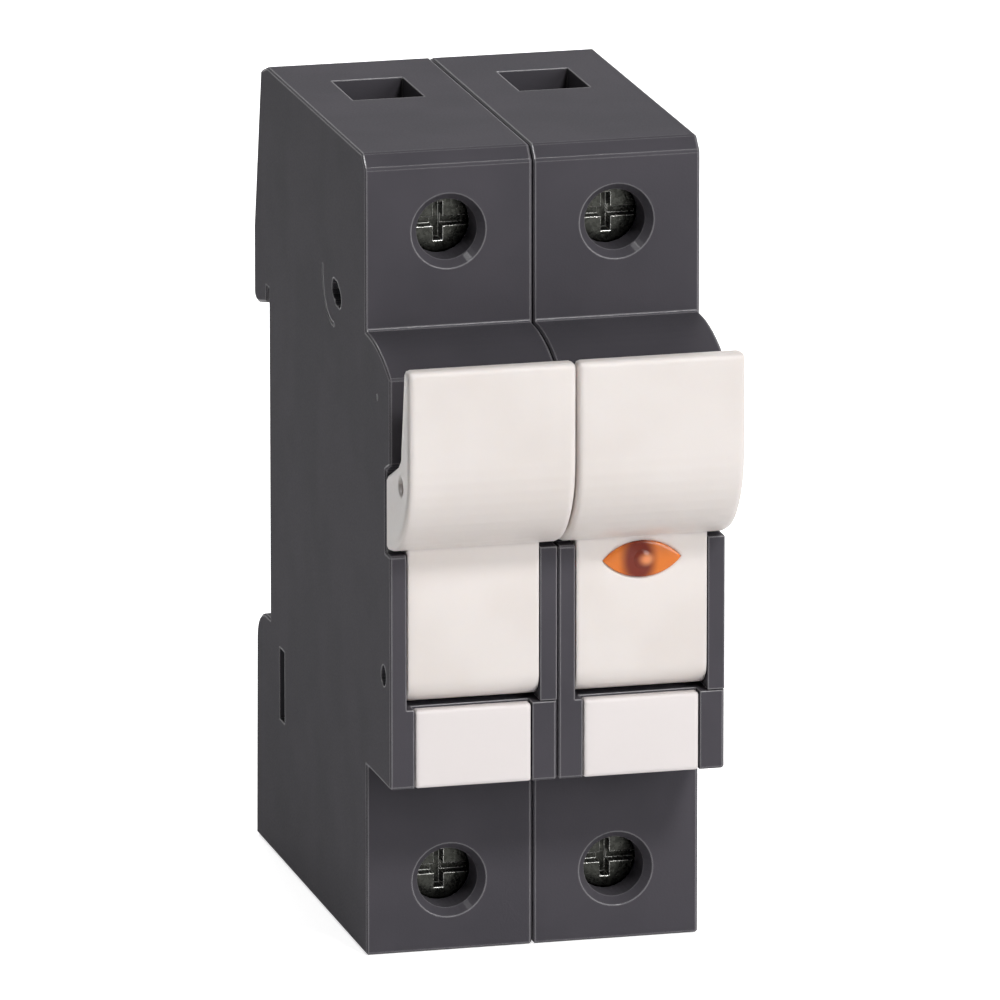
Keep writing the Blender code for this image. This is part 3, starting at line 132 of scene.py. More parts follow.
class MetalSettings(bpy.types.PropertyGroup):
    """Plated steel, tinned copper and nickelled brass."""

    # The zinc colour is partly the dark passivated plating and partly painted shade, darkened
    # further for the screws and clamps that sit deep in their bores.
    shaded_zinc: colour_property("Zinc Colour", "Colour of the screws and clamps", (0.046, 0.047, 0.042))
    # The bare zinc colour is a painted glint: a bright colour along the screws' small edges in place
    # of the sparkle of light on them.
    glinting_zinc: colour_property("Bare Zinc Colour", "Colour of the screws' bare edges",
                               (0.80, 0.80, 0.76))
    pin: colour_property("Pin Colour", "Colour of the pins and rivets", (0.20, 0.20, 0.21))
    copper: colour_property("Tin Colour", "Colour of the contact strips", (0.72, 0.68, 0.62))
    nickel: colour_property("Nickel Colour", "Colour of the fuse's caps", (0.72, 0.70, 0.65))
    ceramic: colour_property("Ceramic Colour", "Colour of the fuse's tube", (0.80, 0.78, 0.74))
    pitch: length_property("Thread Pitch", "Pitch of the terminal screws", 0.0008)
    thread_depth: length_property("Thread Depth", "Depth of their threads", 0.00032)
    head: length_property("Head Thickness", "Thickness of the screws' heads", 0.0028)
    shank: length_property("Shank Radius", "Outer radius of the threads", 0.0021)
    slot: length_property("Slot Width", "Width of the slot and cross in the heads", 0.0010)
    slot_depth: length_property("Slot Depth", "Depth of the slot in the heads", 0.0015)
    cross: length_property("Cross Length", "Length of the cross in the heads", 0.0040)
    spring_wire: length_property("Spring Wire", "Radius of the latch springs' wire", 0.00025)


class StageSettings(bpy.types.PropertyGroup):
    """The camera, the floor and the lights."""

    azimuth: FloatProperty(name="Azimuth", description="How far left of the front it looks from",
                           default=math.radians(14.358), subtype="ANGLE")
    elevation: FloatProperty(name="Elevation", description="How far above the horizon it is",
                             default=math.radians(14.400), subtype="ANGLE")
    distance: length_property("Distance", "From the aim to the camera", 1.5114)
    aim_depth: FloatProperty(name="Aim Depth", description="Y of the point that it aims at",
                             default=-0.00505, unit="LENGTH")
    aim_height: length_property("Aim Height", "Z of the point that it aims at", 0.0417)
    lens: FloatProperty(name="Focal Length", description="Focal length on a 36 mm sensor, in mm",
                        default=533.85, subtype="DISTANCE_CAMERA")
    shift_x: FloatProperty(name="Shift X", description="Sideways picture shift", default=-0.00819)
    shift_y: FloatProperty(name="Shift Y", description="Upward picture shift", default=0.02423)
    floor: colour_property("Floor Colour", "Colour of the floor", (0.90, 0.90, 0.90))
    floor_gap: length_property("Floor Gap", "Between the base and the floor", 0.0001)
    glow: FloatProperty(name="Floor Glow", description="Light that the seen floor adds to its own",
                        default=0.80)
    world: FloatProperty(name="World", description="Strength of the all-round light", default=0.02)
    key: FloatProperty(name="Key", description="Power of the light above the front, in watts",
                       default=5.9)
    fill: FloatProperty(name="Fill", description="Power of the light on the right, in watts",
                        default=5.5)
    glint: FloatProperty(name="Glint", description="Power of the light seen only in gloss, in watts",
                         default=20.0)
    back: FloatProperty(name="Back", description="Power of the light above the back, in watts",
                        default=4.6)
    rear: FloatProperty(name="Rear", description="Power of the low light behind it, in watts",
                        default=3.5)


def settings(name):
    return getattr(bpy.context.scene, f"fuse_holder_{name}")


def new_material(name):
    """A node material with its tree and its Principled BSDF."""
    made = bpy.data.materials.new(name)
    made.use_nodes = True
    tree = made.node_tree
    return made, tree, tree.nodes["Principled BSDF"]


def add_node(tree, kind, **values):
    node = tree.nodes.new(kind)
    for key, value in values.items():
        setattr(node, key, value)
    return node


def object_coordinates(tree):
    return add_node(tree, "ShaderNodeTexCoord").outputs["Object"]


def noise(tree, size, detail=3.0, stretch=None):
    """Noise with features of a given size in metres, or of a size along each axis."""
    mapping = add_node(tree, "ShaderNodeMapping")
    mapping.inputs["Scale"].default_value = [1 / s for s in (stretch or (size,) * 3)]
    tree.links.new(object_coordinates(tree), mapping.inputs["Vector"])
    texture = add_node(tree, "ShaderNodeTexNoise")
    texture.inputs["Scale"].default_value = 1.0
    texture.inputs["Detail"].default_value = detail
    tree.links.new(mapping.outputs["Vector"], texture.inputs["Vector"])
    return texture.outputs["Fac"]


def ramp(tree, source, low, high, start=0.0, end=1.0):
    """A smooth ramp of grey values or colours over a range of the source."""
    node = add_node(tree, "ShaderNodeMapRange", interpolation_type="SMOOTHSTEP")
    for key, value in (("From Min", start), ("From Max", end), ("To Min", low), ("To Max", high)):
        node.inputs[key].default_value = value
    tree.links.new(source, node.inputs["Value"])
    return node.outputs["Result"]


def blend_colours(tree, share, first, second):
    """Mixes two colours, each a value or the output of another node."""
    mix = add_node(tree, "ShaderNodeMix", data_type="RGBA")
    tree.links.new(share, mix.inputs["Factor"])
    colour_a, colour_b = mix.inputs[6], mix.inputs[7]
    for socket, value in ((colour_a, first), (colour_b, second)):
        if isinstance(value, bpy.types.NodeSocket):
            tree.links.new(value, socket)
        else:
            socket.default_value = (*value, 1.0)
    return mix.outputs[2]


def rounded_normal(tree, radius):
    """The surface's normal with its small edges rounded."""
    bevel = add_node(tree, "ShaderNodeBevel", samples=8)
    bevel.inputs["Radius"].default_value = radius
    return bevel.outputs["Normal"]


def edge_share(tree, normal, reach=0.04):
    """1 on a small edge and 0 on a flat face, from how far the rounded normal turns."""
    geometry = add_node(tree, "ShaderNodeNewGeometry")
    dot = add_node(tree, "ShaderNodeVectorMath", operation="DOT_PRODUCT")
    tree.links.new(normal, dot.inputs[0])
    tree.links.new(geometry.outputs["Normal"], dot.inputs[1])
    return ramp(tree, dot.outputs["Value"], 1.0, 0.0, 1.0 - reach, 1.0)


def bump(tree, height, normal, depth):
    """A bumped normal from a height of 0 to 1, as deep as depth in metres."""
    node = add_node(tree, "ShaderNodeBump")
    node.inputs["Strength"].default_value = 1.0
    node.inputs["Distance"].default_value = depth
    tree.links.new(height, node.inputs["Height"])
    if normal is not None:
        tree.links.new(normal, node.inputs["Normal"])
    return node.outputs["Normal"]


def moulding_material(name, colour, pale, edge, roughness, grain, edge_radius, grain_depth):
    """Moulded plastic: soft patches, a fine grain and a painted highlight along its small edges."""
    made, tree, shader = new_material(name)
    normal = rounded_normal(tree, edge_radius)
    patches = ramp(tree, noise(tree, 0.012, 2.0), 0.0, 1.0, 0.35, 0.65)
    body = blend_colours(tree, patches, colour, pale)
    # Painted highlight: the edge colour is mixed in along the small edges, in place of the light
    # that they catch.
    highlighted = blend_colours(tree, edge_share(tree, normal), body, edge)
    tree.links.new(highlighted, shader.inputs["Base Color"])
    fine = noise(tree, grain, 4.0)
    tree.links.new(ramp(tree, fine, roughness - 0.05, roughness + 0.07, 0.3, 0.7),
                   shader.inputs["Roughness"])
    tree.links.new(bump(tree, fine, normal, grain_depth), shader.inputs["Normal"])
    return made


def dark_moulding():
    look = settings("moulding")
    # Its edge colour is the painted highlight along the small edges.
    made = moulding_material("dark_moulding", look.colour, look.pale, look.edge, look.roughness,
                             look.grain, look.edge_radius, 0.000012)
    tree, shader = made.node_tree, made.node_tree.nodes["Principled BSDF"]
    shader.inputs["Specular IOR Level"].default_value = look.specular
    normal = rounded_normal(tree, look.edge_radius)
    tree.links.new(ramp(tree, edge_share(tree, normal), look.skin, look.edge_skin),
                   shader.inputs["Coat Weight"])
    shader.inputs["Coat Roughness"].default_value = look.skin_roughness
    tree.links.new(normal, shader.inputs["Coat Normal"])
    return made


def white_moulding():
    look = settings("carrier")
    made = moulding_material("white_moulding", look.colour, look.shade, look.colour,
                             look.roughness, 0.0006, look.edge_radius, 0.000004)
    shader = made.node_tree.nodes["Principled BSDF"]
    shader.inputs["Subsurface Weight"].default_value = 0.12
    shader.inputs["Subsurface Radius"].default_value = (1.0, 0.8, 0.6)
    shader.inputs["Subsurface Scale"].default_value = 0.0008
    return made


def marker_material():
    look = settings("carrier")
    return moulding_material("marker_plastic", look.marker, look.marker, look.marker,
                             look.roughness + 0.08, 0.0005, look.edge_radius, 0.000004)


def metal_material(name, colour, edge, roughness, brushed, relief):
    """Plated metal with fine marks, and a painted glint in the edge colour along its small edges."""
    made, tree, shader = new_material(name)
    shader.inputs["Metallic"].default_value = 1.0
    normal = rounded_normal(tree, 0.00012)
    marks = noise(tree, 0.0, 3.0, stretch=brushed)
    dull = [c * 0.82 for c in colour]
    plating = blend_colours(tree, ramp(tree, marks, 0.0, 1.0, 0.35, 0.65), colour, dull)
    # Painted glint: the edge colour is mixed in along the small edges.
    tree.links.new(blend_colours(tree, edge_share(tree, normal), plating, edge),
                   shader.inputs["Base Color"])
    tree.links.new(ramp(tree, marks, roughness - 0.06, roughness + 0.10, 0.3, 0.7),
                   shader.inputs["Roughness"])
    tree.links.new(bump(tree, marks, normal, relief), shader.inputs["Normal"])
    return made


def ceramic_material():
    made, tree, shader = new_material("ceramic")
    grains = noise(tree, 0.0004, 5.0)
    colour = settings("metal").ceramic
    tree.links.new(blend_colours(tree, ramp(tree, grains, 0.0, 1.0, 0.55, 0.75), colour,
                                 [c * 0.9 for c in colour]), shader.inputs["Base Color"])
    shader.inputs["Roughness"].default_value = 0.45
    tree.links.new(bump(tree, grains, None, 0.00001), shader.inputs["Normal"])
    return made


def distance_from(tree, point, axes):
    """Distance in the object's coordinates from a point, along some of the axes only."""
    offset = add_node(tree, "ShaderNodeVectorMath", operation="SUBTRACT")
    offset.inputs[1].default_value = point
    tree.links.new(object_coordinates(tree), offset.inputs[0])
    kept = add_node(tree, "ShaderNodeVectorMath", operation="MULTIPLY")
    kept.inputs[1].default_value = axes
    tree.links.new(offset.outputs["Vector"], kept.inputs[0])
    length = add_node(tree, "ShaderNodeVectorMath", operation="LENGTH")
    tree.links.new(kept.outputs["Vector"], length.inputs[0])
    return length.outputs["Value"]


def lens_material():
    """Amber plastic with a painted band of shade and a painted glint near its middle, where the lamp
    sits behind it.
    """
    made, tree, shader = new_material("amber_lens")
    look = settings("indicator")
    low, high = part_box("indicator_lens")
    middle = (low + high) / 2
    aside = Vector((look.aside, 0.0, 0.0))
    # Painted shade: a dark band, stretched upright, a little left of the middle.
    from_shade_band = distance_from(tree, middle - aside, (1, 0, 0.6))
    past_shade_band = ramp(tree, from_shade_band, 0.0, 1.0, 0.0010, 0.0023)
    shaded_lens = blend_colours(tree, past_shade_band, look.deep, look.lens)
    # Painted glint: a small bright spot a little right of the middle.
    from_glint = distance_from(tree, middle + aside, (0.8, 0, 1))
    past_glint = ramp(tree, from_glint, 0.0, 1.0, 0.0001, 0.0009)
    tree.links.new(blend_colours(tree, past_glint, look.core, shaded_lens), shader.inputs["Base Color"])
    shader.inputs["Roughness"].default_value = 0.12
    shader.inputs["Specular IOR Level"].default_value = 0.2
    shader.inputs["Subsurface Weight"].default_value = 0.15
    shader.inputs["Subsurface Scale"].default_value = 0.0006
    shader.inputs["Coat Weight"].default_value = 0.20
    shader.inputs["Coat Roughness"].default_value = 0.03
    return made


def lens_mesh(low, high):
    """An almond window with a crowned face, and a small dome in its middle."""
    look = settings("indicator")
    crown = look.crown
    middle = (low + high) / 2
    half, rise = (high.x - low.x) / 2 + look.snug, (high.z - low.z) / 2 + look.snug
    radius = (half ** 2 + rise ** 2) / (2 * rise)
    spread = math.asin(half / radius)
    face_y = low.y + look.dome_height
    steps = 24
    outline = []
    for sign in (1, -1):
        for i in range(steps):
            angle = spread - 2 * spread * i / steps
            outline.append((sign * radius * math.sin(angle),
                            sign * (radius * math.cos(angle) - radius + rise)))
    shape = bmesh.new()
    rings = [[(middle.x + s * u, y, middle.z + s * v) for u, v in outline]
             for s, y in ((1.0, high.y), (1.0, face_y + crown), (0.985, face_y + crown * 0.4),
                          (0.94, face_y + crown * 0.1), (0.8, face_y), (0.5, face_y - crown / 2),
                          (0.2, face_y - crown * 0.7))]
    ring_solid(shape, rings)
    base = Vector((middle.x, 0.0, middle.z))
    root_y, sides = face_y + crown, 40
    rings = [ring(base, look.dome_radius, middle.y, sides)]
    for angle in (math.radians(step) for step in range(0, 90, 10)):
        rings.append(ring(base, look.dome_radius * math.cos(angle),
                          root_y - (root_y - low.y) * math.sin(angle), sides))
    ring_solid(shape, rings)
    return finished_mesh("almond_window", shape)


def lamp_meshes(low, high):
    """A neon lamp's glass along X and its two rod electrodes."""
    middle = (low + high) / 2
    radius, half = (high.z - low.z) / 2, (high.x - low.x) / 2

    def across(r, along, sides):
        return [(middle.x + along, middle.y + r * math.cos(2 * math.pi * i / sides),
                 middle.z + r * math.sin(2 * math.pi * i / sides)) for i in range(sides)]

    glass = bmesh.new()
    end = [(radius * math.cos(math.radians(a)), radius * 0.8 * math.sin(math.radians(a)))
           for a in range(0, 86, 12)]
    inner = half - radius * 0.8
    rings = [(r, -inner - along) for r, along in reversed(end)]
    rings += [(r, inner + along) for r, along in end]
    ring_solid(glass, [across(r, along, 32) for r, along in rings])
    rods = bmesh.new()
    for side in (-1, 1):
        middle.z += side * radius * 0.35
        ring_solid(rods, [across(radius * 0.16, along, 12) for along in (-half * 0.8, half * 0.6)])
        middle.z -= side * radius * 0.35
    return finished_mesh("lamp_glass", glass), finished_mesh("lamp_rods", rods)


def banded_resistor():
    """Lacquer with four colour rings along X."""
    look = settings("indicator")
    made = moulding_material("resistor_lacquer", look.resistor, look.resistor, look.resistor, 0.35,
                             0.0003, 0.0001, 0.000004)
    tree, shader = made.node_tree, made.node_tree.nodes["Principled BSDF"]
    low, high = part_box("indicator_resistor")
    middle = (low + high) / 2
    colour = shader.inputs["Base Color"].links[0].from_socket
    rings = ((-0.0016, (0.20, 0.06, 0.02)), (-0.0006, (0.02, 0.02, 0.02)),
             (0.0004, (0.55, 0.30, 0.02)), (0.0017, (0.45, 0.33, 0.10)))
    for along, paint in rings:
        place = (middle.x + along, middle.y, middle.z)
        share = ramp(tree, distance_from(tree, place, (1, 0, 0)), 0.0, 1.0, 0.00025, 0.00029)
        colour = blend_colours(tree, share, paint, colour)
    tree.links.new(colour, shader.inputs["Base Color"])
    return made


def glass_material():
    made, tree, shader = new_material("lamp_glass")
    shader.inputs["Base Color"].default_value = (*settings("indicator").glass, 1.0)
    shader.inputs["Transmission Weight"].default_value = 0.7
    shader.inputs["Roughness"].default_value = 0.05
    return made


def new_piece(name, mesh, body, slot, replaced=()):
    """A smooth piece in its place, riding on a body and standing for CAD nodes."""
    mesh.materials.clear()
    mesh.materials.append(finish_for(slot))
    mesh.shade_smooth()
    mesh.set_sharp_from_angle(angle=SMOOTH_BELOW)
    piece = bpy.data.objects.new(name, mesh)
    bpy.context.scene.collection.objects.link(piece)
    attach(piece, body)
    if replaced:
        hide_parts(*replaced)
    return piece


def ring_solid(shape, rings):
    """Joins rings of points, of one length each, into a solid with flat ends."""
    loops = [[shape.verts.new(point) for point in ring] for ring in rings]
    for low, high in zip(loops, loops[1:]):
        for i in range(len(low)):
            j = (i + 1) % len(low)
            shape.faces.new((low[i], low[j], high[j], high[i]))
    shape.faces.new(loops[0])
    shape.faces.new(loops[-1])


def finished_mesh(name, shape):
    bmesh.ops.recalc_face_normals(shape, faces=shape.faces)
    mesh = bpy.data.meshes.new(name)
    shape.to_mesh(mesh)
    shape.free()
    return mesh


def ring(centre, radius, along, sides, thread=None):
    """Points round a line along +Y; thread gives how much each one stands back."""
    points = []
    for i in range(sides):
        turn = i / sides
        r = radius - (thread(turn) if thread else 0.0)
        points.append((centre.x + r * math.cos(2 * math.pi * turn), centre.y + along,
                       centre.z + r * math.sin(2 * math.pi * turn)))
    return points


def cut_boxes(mesh, boxes):
    """The mesh with boxes, each from its lowest to its highest corner, cut out of it."""
    solid = bpy.data.objects.new("solid", mesh)
    bpy.context.scene.collection.objects.link(solid)
    tools = []
    for low, high in boxes:
        shape = bmesh.new()
        bmesh.ops.create_cube(shape, size=1.0)
        bmesh.ops.scale(shape, vec=high - low, verts=shape.verts)
        bmesh.ops.translate(shape, vec=(low + high) / 2, verts=shape.verts)
        tool = bpy.data.objects.new("tool", finished_mesh("tool", shape))
        bpy.context.scene.collection.objects.link(tool)
        modifier = solid.modifiers.new("cut", "BOOLEAN")
        modifier.operation = "DIFFERENCE"
        modifier.solver = "EXACT"
        modifier.object = tool
        tools.append(tool)
    bpy.context.view_layer.update()
    graph = bpy.context.evaluated_depsgraph_get()
    result = bpy.data.meshes.new_from_object(solid.evaluated_get(graph))
    for made in (solid, *tools):
        bpy.data.objects.remove(made, do_unlink=True)
    return result


def screw_mesh(node):
    """A terminal screw with a slot and a cross in its head and a thread on its shank."""
    look = settings("metal")
    low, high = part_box(node)
    middle = Vector(((low.x + high.x) / 2, low.y, (low.z + high.z) / 2))
    radius = (high.x - low.x) / 2
    length = high.y - low.y
    rounding = 0.0004
    front = [(radius - rounding + rounding * math.sin(math.radians(a)),
              rounding - rounding * math.cos(math.radians(a))) for a in range(0, 91, 15)]
    back = [(r, look.head - along) for r, along in reversed(front)]
    shape = bmesh.new()
    ring_solid(shape, [ring(middle, r, along, 64) for r, along in front + back])
    half = look.slot / 2
    reach = radius + rounding
    head = cut_boxes(finished_mesh("head", shape), [
        (middle + Vector((-reach, -rounding, -half)),
         middle + Vector((reach, look.slot_depth, half))),
        (middle + Vector((-half, -rounding, -look.cross / 2)),
         middle + Vector((half, look.slot_depth * 1.25, look.cross / 2)))])
    shape = bmesh.new()
    shape.from_mesh(head)
    bpy.data.meshes.remove(head)
    step = look.pitch / 10
    rows = int((length - look.head + rounding) / step)
    start = look.head - rounding / 2
    rings = []
    for i in range(rows + 1):
        along = start + (length - start) * i / rows
        fade = min(1.0, max(0.0, (length - along) / (2 * rounding)))

        def thread(turn, along=along, fade=fade):
            phase = (along / look.pitch - turn) % 1.0
            depth = min(1.0, max(0.0, 1.7 * abs(2 * phase - 1) - 0.3))
            return look.thread_depth * depth + (1 - fade) * look.thread_depth
        rings.append(ring(middle, look.shank, along, 40, thread))
    ring_solid(shape, rings)
    return finished_mesh(f"threaded_{node}", shape)


def coil_mesh(name, centre, low_z, high_z, radius, wire):
    """A compression spring with closed end turns, as a round tube along a coil."""
    closed, turns, per_turn, around = 0.75, 4.5, 40, 12
    rise = high_z - low_z - 2 * closed * 2 * wire
    shape = bmesh.new()
    rings = []
    steps = round(turns * per_turn)
    for i in range(steps + 1):
        turn = turns * i / steps
        flat = min(turn, closed) + max(0.0, turn - (turns - closed))
        open_share = min(max(turn - closed, 0.0), turns - 2 * closed) / (turns - 2 * closed)
        z = low_z + flat * 2 * wire + rise * open_share
        angle = 2 * math.pi * turn
        out = Vector((math.cos(angle), math.sin(angle), 0.0))
        points = []
        for j in range(around):
            a = 2 * math.pi * j / around
            points.append(Vector((centre.x, centre.y, z)) + out * (radius + wire * math.cos(a))
                          + Vector((0.0, 0.0, wire * math.sin(a))))
        rings.append(points)
    ring_solid(shape, rings)
    return finished_mesh(name, shape)


def dress(nodes, slot):
    """Gives CAD nodes the material for one of the record's slots."""
    for name in nodes:
        for material_slot in NODES[name].material_slots:
            material_slot.material = finish_for(slot)


def metal_finish(name):
    """One of the metals: colour, edge colour (a painted glint where it differs from the colour),
    roughness, and its marks' size and relief.
    """
    look = settings("metal")
    return metal_material(name, *{
        # The zinc row pairs the zinc darkened as painted shade with the painted glint on its edges.
        "zinc_plated_steel": (look.shaded_zinc, look.glinting_zinc, 0.26, (0.0004, 0.002, 0.0004), 0.00003),
        "pin_steel": (look.pin, look.pin, 0.35, (0.002, 0.0002, 0.0002), 0.000006),
        "tinned_copper": (look.copper, look.copper, 0.30, (0.0002, 0.003, 0.003), 0.000006),
        "nickelled_brass": (look.nickel, look.nickel, 0.24, (0.002, 0.002, 0.0001), 0.000002),
    }[name])


MAKERS = {"dark_moulding": dark_moulding, "white_moulding": white_moulding,
          "marker_plastic": marker_material, "amber_lens": lens_material,
          "lamp_glass": glass_material, "resistor_lacquer": banded_resistor,
          "ceramic": ceramic_material}
FINISHES = {}


def finish_for(slot):
    """The material for one of the record's slots, made when it is first asked for."""
    if slot not in FINISHES:
        FINISHES[slot] = MAKERS[slot]() if slot in MAKERS else metal_finish(slot)
    return FINISHES[slot]


class LooksOperator:
    """What the operators share."""

    bl_options = {"REGISTER", "UNDO"}


class FUSEHOLDER_OT_housings(LooksOperator, bpy.types.Operator):
    """Dress both cases, their covers and the rail latches in the dark moulding"""

    bl_idname = "fuse_holder.housings"
    bl_label = "Dress Housings"

    def execute(self, context):
        dress([f"{pole}_{piece}" for pole in POLES for piece in ("case", "cover", "rail_latch")],
              "dark_moulding")
        return {"FINISHED"}


class FUSEHOLDER_OT_carriers(LooksOperator, bpy.types.Operator):
    """Dress both carriers in the warm white moulding"""

    bl_idname = "fuse_holder.carriers"
    bl_label = "Dress Carriers"

    def execute(self, context):
        dress([f"{pole}_carrier" for pole in POLES], "white_moulding")
        return {"FINISHED"}


class FUSEHOLDER_OT_markers(LooksOperator, bpy.types.Operator):
    """Dress the two blank marker plates"""

    bl_idname = "fuse_holder.markers"
    bl_label = "Dress Marker Plates"

    def execute(self, context):
        dress([f"{pole}_marker" for pole in POLES], "marker_plastic")
        return {"FINISHED"}


class FUSEHOLDER_OT_indicator(LooksOperator, bpy.types.Operator):
    """Make the indicator's amber window and lamp, and dress its resistor"""

    bl_idname = "fuse_holder.indicator"
    bl_label = "Make Indicator"

    def execute(self, context):
        new_piece("almond_window", lens_mesh(*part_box("indicator_lens")), "carriers",
                  "amber_lens", ["indicator_lens"])
        glass, rods = lamp_meshes(*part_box("indicator_lamp"))
        new_piece("neon_glass", glass, "carriers", "lamp_glass", ["indicator_lamp"])
        new_piece("neon_electrodes", rods, "carriers", "tinned_copper")
        dress(["indicator_resistor"], "resistor_lacquer")
        return {"FINISHED"}


class FUSEHOLDER_OT_fuses(LooksOperator, bpy.types.Operator):
    """Dress the fuse link and the solid link"""

    bl_idname = "fuse_holder.fuses"
    bl_label = "Dress Fuse Links"

    def execute(self, context):
        dress(["fuse_lower_cap", "fuse_upper_cap", "neutral_link"], "nickelled_brass")
        dress(["fuse_tube"], "ceramic")
        return {"FINISHED"}


class FUSEHOLDER_OT_terminals(LooksOperator, bpy.types.Operator):
    """Dress the terminal screws, box clamps and contact strips"""

    bl_idname = "fuse_holder.terminals"
    bl_label = "Dress Terminals"

    def execute(self, context):
        places = [f"{pole}_{end}" for pole in POLES for end in ENDS]
        dress([f"{place}_clamp" for place in places], "zinc_plated_steel")
        for place in places:
            new_piece(f"threaded_{place}_screw", screw_mesh(f"{place}_screw"), f"{place}_screw",
                      "zinc_plated_steel", [f"{place}_screw"])
        dress([*[f"{place}_contact" for place in places],
               "indicator_upper_lead", "indicator_lower_lead"], "tinned_copper")
        return {"FINISHED"}


class FUSEHOLDER_OT_pins(LooksOperator, bpy.types.Operator):
    """Dress the hinge pins, the tie pin, the rivets and the latch springs"""

    bl_idname = "fuse_holder.pins"
    bl_label = "Dress Pins And Springs"

    def execute(self, context):
        look = settings("metal")
        dress(["handle_tie_pin", *[f"{pole}_hinge_pin" for pole in POLES],
               *[f"pole_rivet_{place}" for place in ("upper", "lower", "rear")]], "pin_steel")
        for pole in POLES:
            low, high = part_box(f"{pole}_latch_spring")
            wire = look.spring_wire
            centre = (low + high) / 2
            mesh = coil_mesh(f"{pole}_coil", centre, low.z + wire, high.z - wire,
                             (high.x - low.x) / 2 - wire, wire)
            coil = new_piece(f"{pole}_coil", mesh, "housing", "zinc_plated_steel",
                             [f"{pole}_latch_spring"])
            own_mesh(coil)
        return {"FINISHED"}


def shown_share(tree):
    """1 for rays that show the background: from the camera, off metal or through glass."""
    rays = add_node(tree, "ShaderNodeLightPath")
    share = rays.outputs["Is Camera Ray"]
    for name in ("Is Glossy Ray", "Is Transmission Ray"):
        either = add_node(tree, "ShaderNodeMath", operation="MAXIMUM")
        tree.links.new(share, either.inputs[0])
        tree.links.new(rays.outputs[name], either.inputs[1])
        share = either.outputs["Value"]
    return share


def floor_material(colour, brightness):
    """Pale floor that shows as white and keeps the object's shadow."""
    made, tree, shader = new_material("pale_floor")
    shader.inputs["Base Color"].default_value = (*colour, 1.0)
    shader.inputs["Roughness"].default_value = 0.9
    shader.inputs["Specular IOR Level"].default_value = 0.1
    glow = ramp(tree, shown_share(tree), 0.0, brightness)
    shader.inputs["Emission Color"].default_value = (1.0, 1.0, 1.0, 1.0)
    tree.links.new(glow, shader.inputs["Emission Strength"])
    return made


def add_light(name, place, aim, size, power, unseen_by=None):
    """A round soft light that the camera, and one kind of ray where named, doesn't see."""
    light = bpy.data.lights.new(name, "AREA")
    light.shape = "DISK"
    light.size = size
    light.energy = power
    made = bpy.data.objects.new(name, light)
    bpy.context.scene.collection.objects.link(made)
    made.location = place
    made.rotation_euler = (aim - Vector(place)).to_track_quat("-Z", "Y").to_euler()
    made.visible_camera = False
    if unseen_by:
        setattr(made, f"visible_{unseen_by}", False)


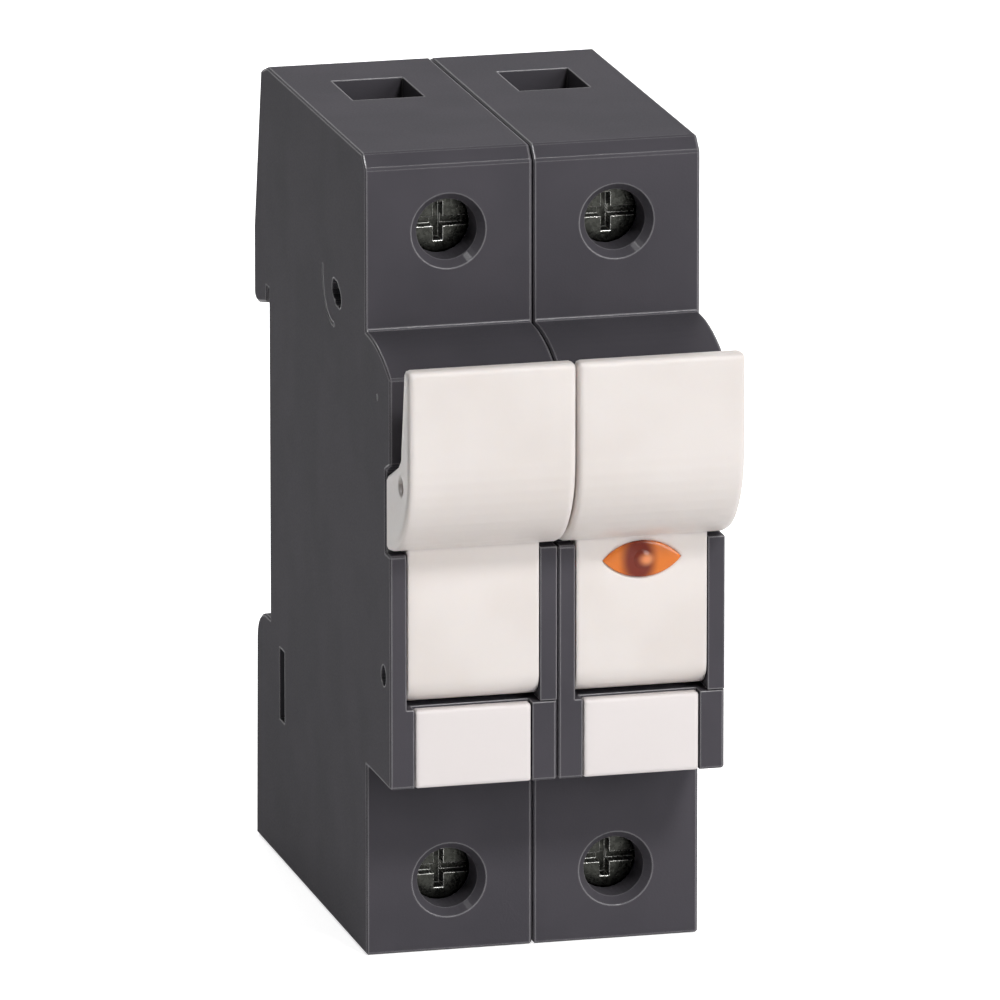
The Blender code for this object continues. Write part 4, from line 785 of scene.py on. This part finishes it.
class FUSEHOLDER_OT_stage(LooksOperator, bpy.types.Operator):
    """Set up the camera, the pale floor and the soft lights"""

    bl_idname = "fuse_holder.stage"
    bl_label = "Set Up Stage"

    def execute(self, context):
        stage = settings("stage")
        scene = context.scene
        aim = Vector((0.0, stage.aim_depth, stage.aim_height))
        back = Vector((-math.sin(stage.azimuth) * math.cos(stage.elevation),
                       -math.cos(stage.azimuth) * math.cos(stage.elevation),
                       math.sin(stage.elevation)))
        camera = bpy.data.objects.new("camera", bpy.data.cameras.new("camera"))
        scene.collection.objects.link(camera)
        camera.location = aim + back * stage.distance
        camera.rotation_euler = (-back).to_track_quat("-Z", "Y").to_euler()
        camera.data.sensor_width = SENSOR_WIDTH_MM
        camera.data.lens = stage.lens
        camera.data.shift_x = stage.shift_x
        camera.data.shift_y = stage.shift_y
        camera.data.clip_start = 0.05
        camera.data.clip_end = 20.0
        scene.camera = camera

        shape = bmesh.new()
        bmesh.ops.create_grid(shape, x_segments=1, y_segments=1, size=4.0)
        mesh = bpy.data.meshes.new("floor")
        shape.to_mesh(mesh)
        shape.free()
        floor = bpy.data.objects.new("floor", mesh)
        floor.location.z = -stage.floor_gap
        mesh.materials.append(floor_material(stage.floor, stage.glow))
        scene.collection.objects.link(floor)

        world = bpy.data.worlds.new("studio")
        world.use_nodes = True
        tree = world.node_tree
        background = tree.nodes["Background"]
        background.inputs["Color"].default_value = (1.0, 1.0, 1.0, 1.0)
        strength = ramp(tree, shown_share(tree), stage.world, 1.0)
        tree.links.new(strength, background.inputs["Strength"])
        scene.world = world

        add_light("key_light", (0.26, -0.78, 0.84), aim, 0.25, stage.key)
        add_light("fill_light", (0.60, -0.95, 0.35), aim, 0.6, stage.fill)
        add_light("glint_light", (-0.614, -0.19, 0.933), aim, 0.19, stage.glint, "diffuse")
        add_light("back_light", (0.0, 0.70, 0.90), aim, 0.6, stage.back)
        add_light("rear_light", (0.45, 1.0, 0.30), aim, 0.5, stage.rear, "glossy")
        scene.view_settings.view_transform = "Standard"
        return {"FINISHED"}


GROUPS = {"moulding": MouldingSettings, "carrier": CarrierSettings,
          "indicator": IndicatorSettings, "metal": MetalSettings, "stage": StageSettings}
OPERATORS = (FUSEHOLDER_OT_housings, FUSEHOLDER_OT_carriers, FUSEHOLDER_OT_markers,
             FUSEHOLDER_OT_indicator, FUSEHOLDER_OT_fuses, FUSEHOLDER_OT_terminals,
             FUSEHOLDER_OT_pins, FUSEHOLDER_OT_stage)


class FUSEHOLDER_PT_looks(bpy.types.Panel):
    """Lists the fuse holder's settings and the operators that use them"""

    bl_idname = "FUSEHOLDER_PT_looks"
    bl_label = "Fuse Holder"
    bl_space_type = "VIEW_3D"
    bl_region_type = "UI"
    bl_category = "Fuse Holder"

    def draw(self, context):
        for name, group in GROUPS.items():
            box = self.layout.box()
            box.label(text=name.capitalize())
            for key in group.__annotations__:
                box.prop(settings(name), key)
        for operator in OPERATORS:
            self.layout.operator(operator.bl_idname)


def register():
    for name, group in GROUPS.items():
        bpy.utils.register_class(group)
        setattr(bpy.types.Scene, f"fuse_holder_{name}", PointerProperty(type=group))
    for operator in OPERATORS:
        bpy.utils.register_class(operator)
    bpy.utils.register_class(FUSEHOLDER_PT_looks)


def unregister():
    bpy.utils.unregister_class(FUSEHOLDER_PT_looks)
    for operator in reversed(OPERATORS):
        bpy.utils.unregister_class(operator)
    for name, group in GROUPS.items():
        delattr(bpy.types.Scene, f"fuse_holder_{name}")
        bpy.utils.unregister_class(group)


def main():
    register()
    bpy.ops.fuse_holder.stage()
    bpy.ops.fuse_holder.housings()
    bpy.ops.fuse_holder.carriers()
    bpy.ops.fuse_holder.markers()
    bpy.ops.fuse_holder.indicator()
    bpy.ops.fuse_holder.fuses()
    bpy.ops.fuse_holder.terminals()
    bpy.ops.fuse_holder.pins()


if __name__ == "__main__":
    main()
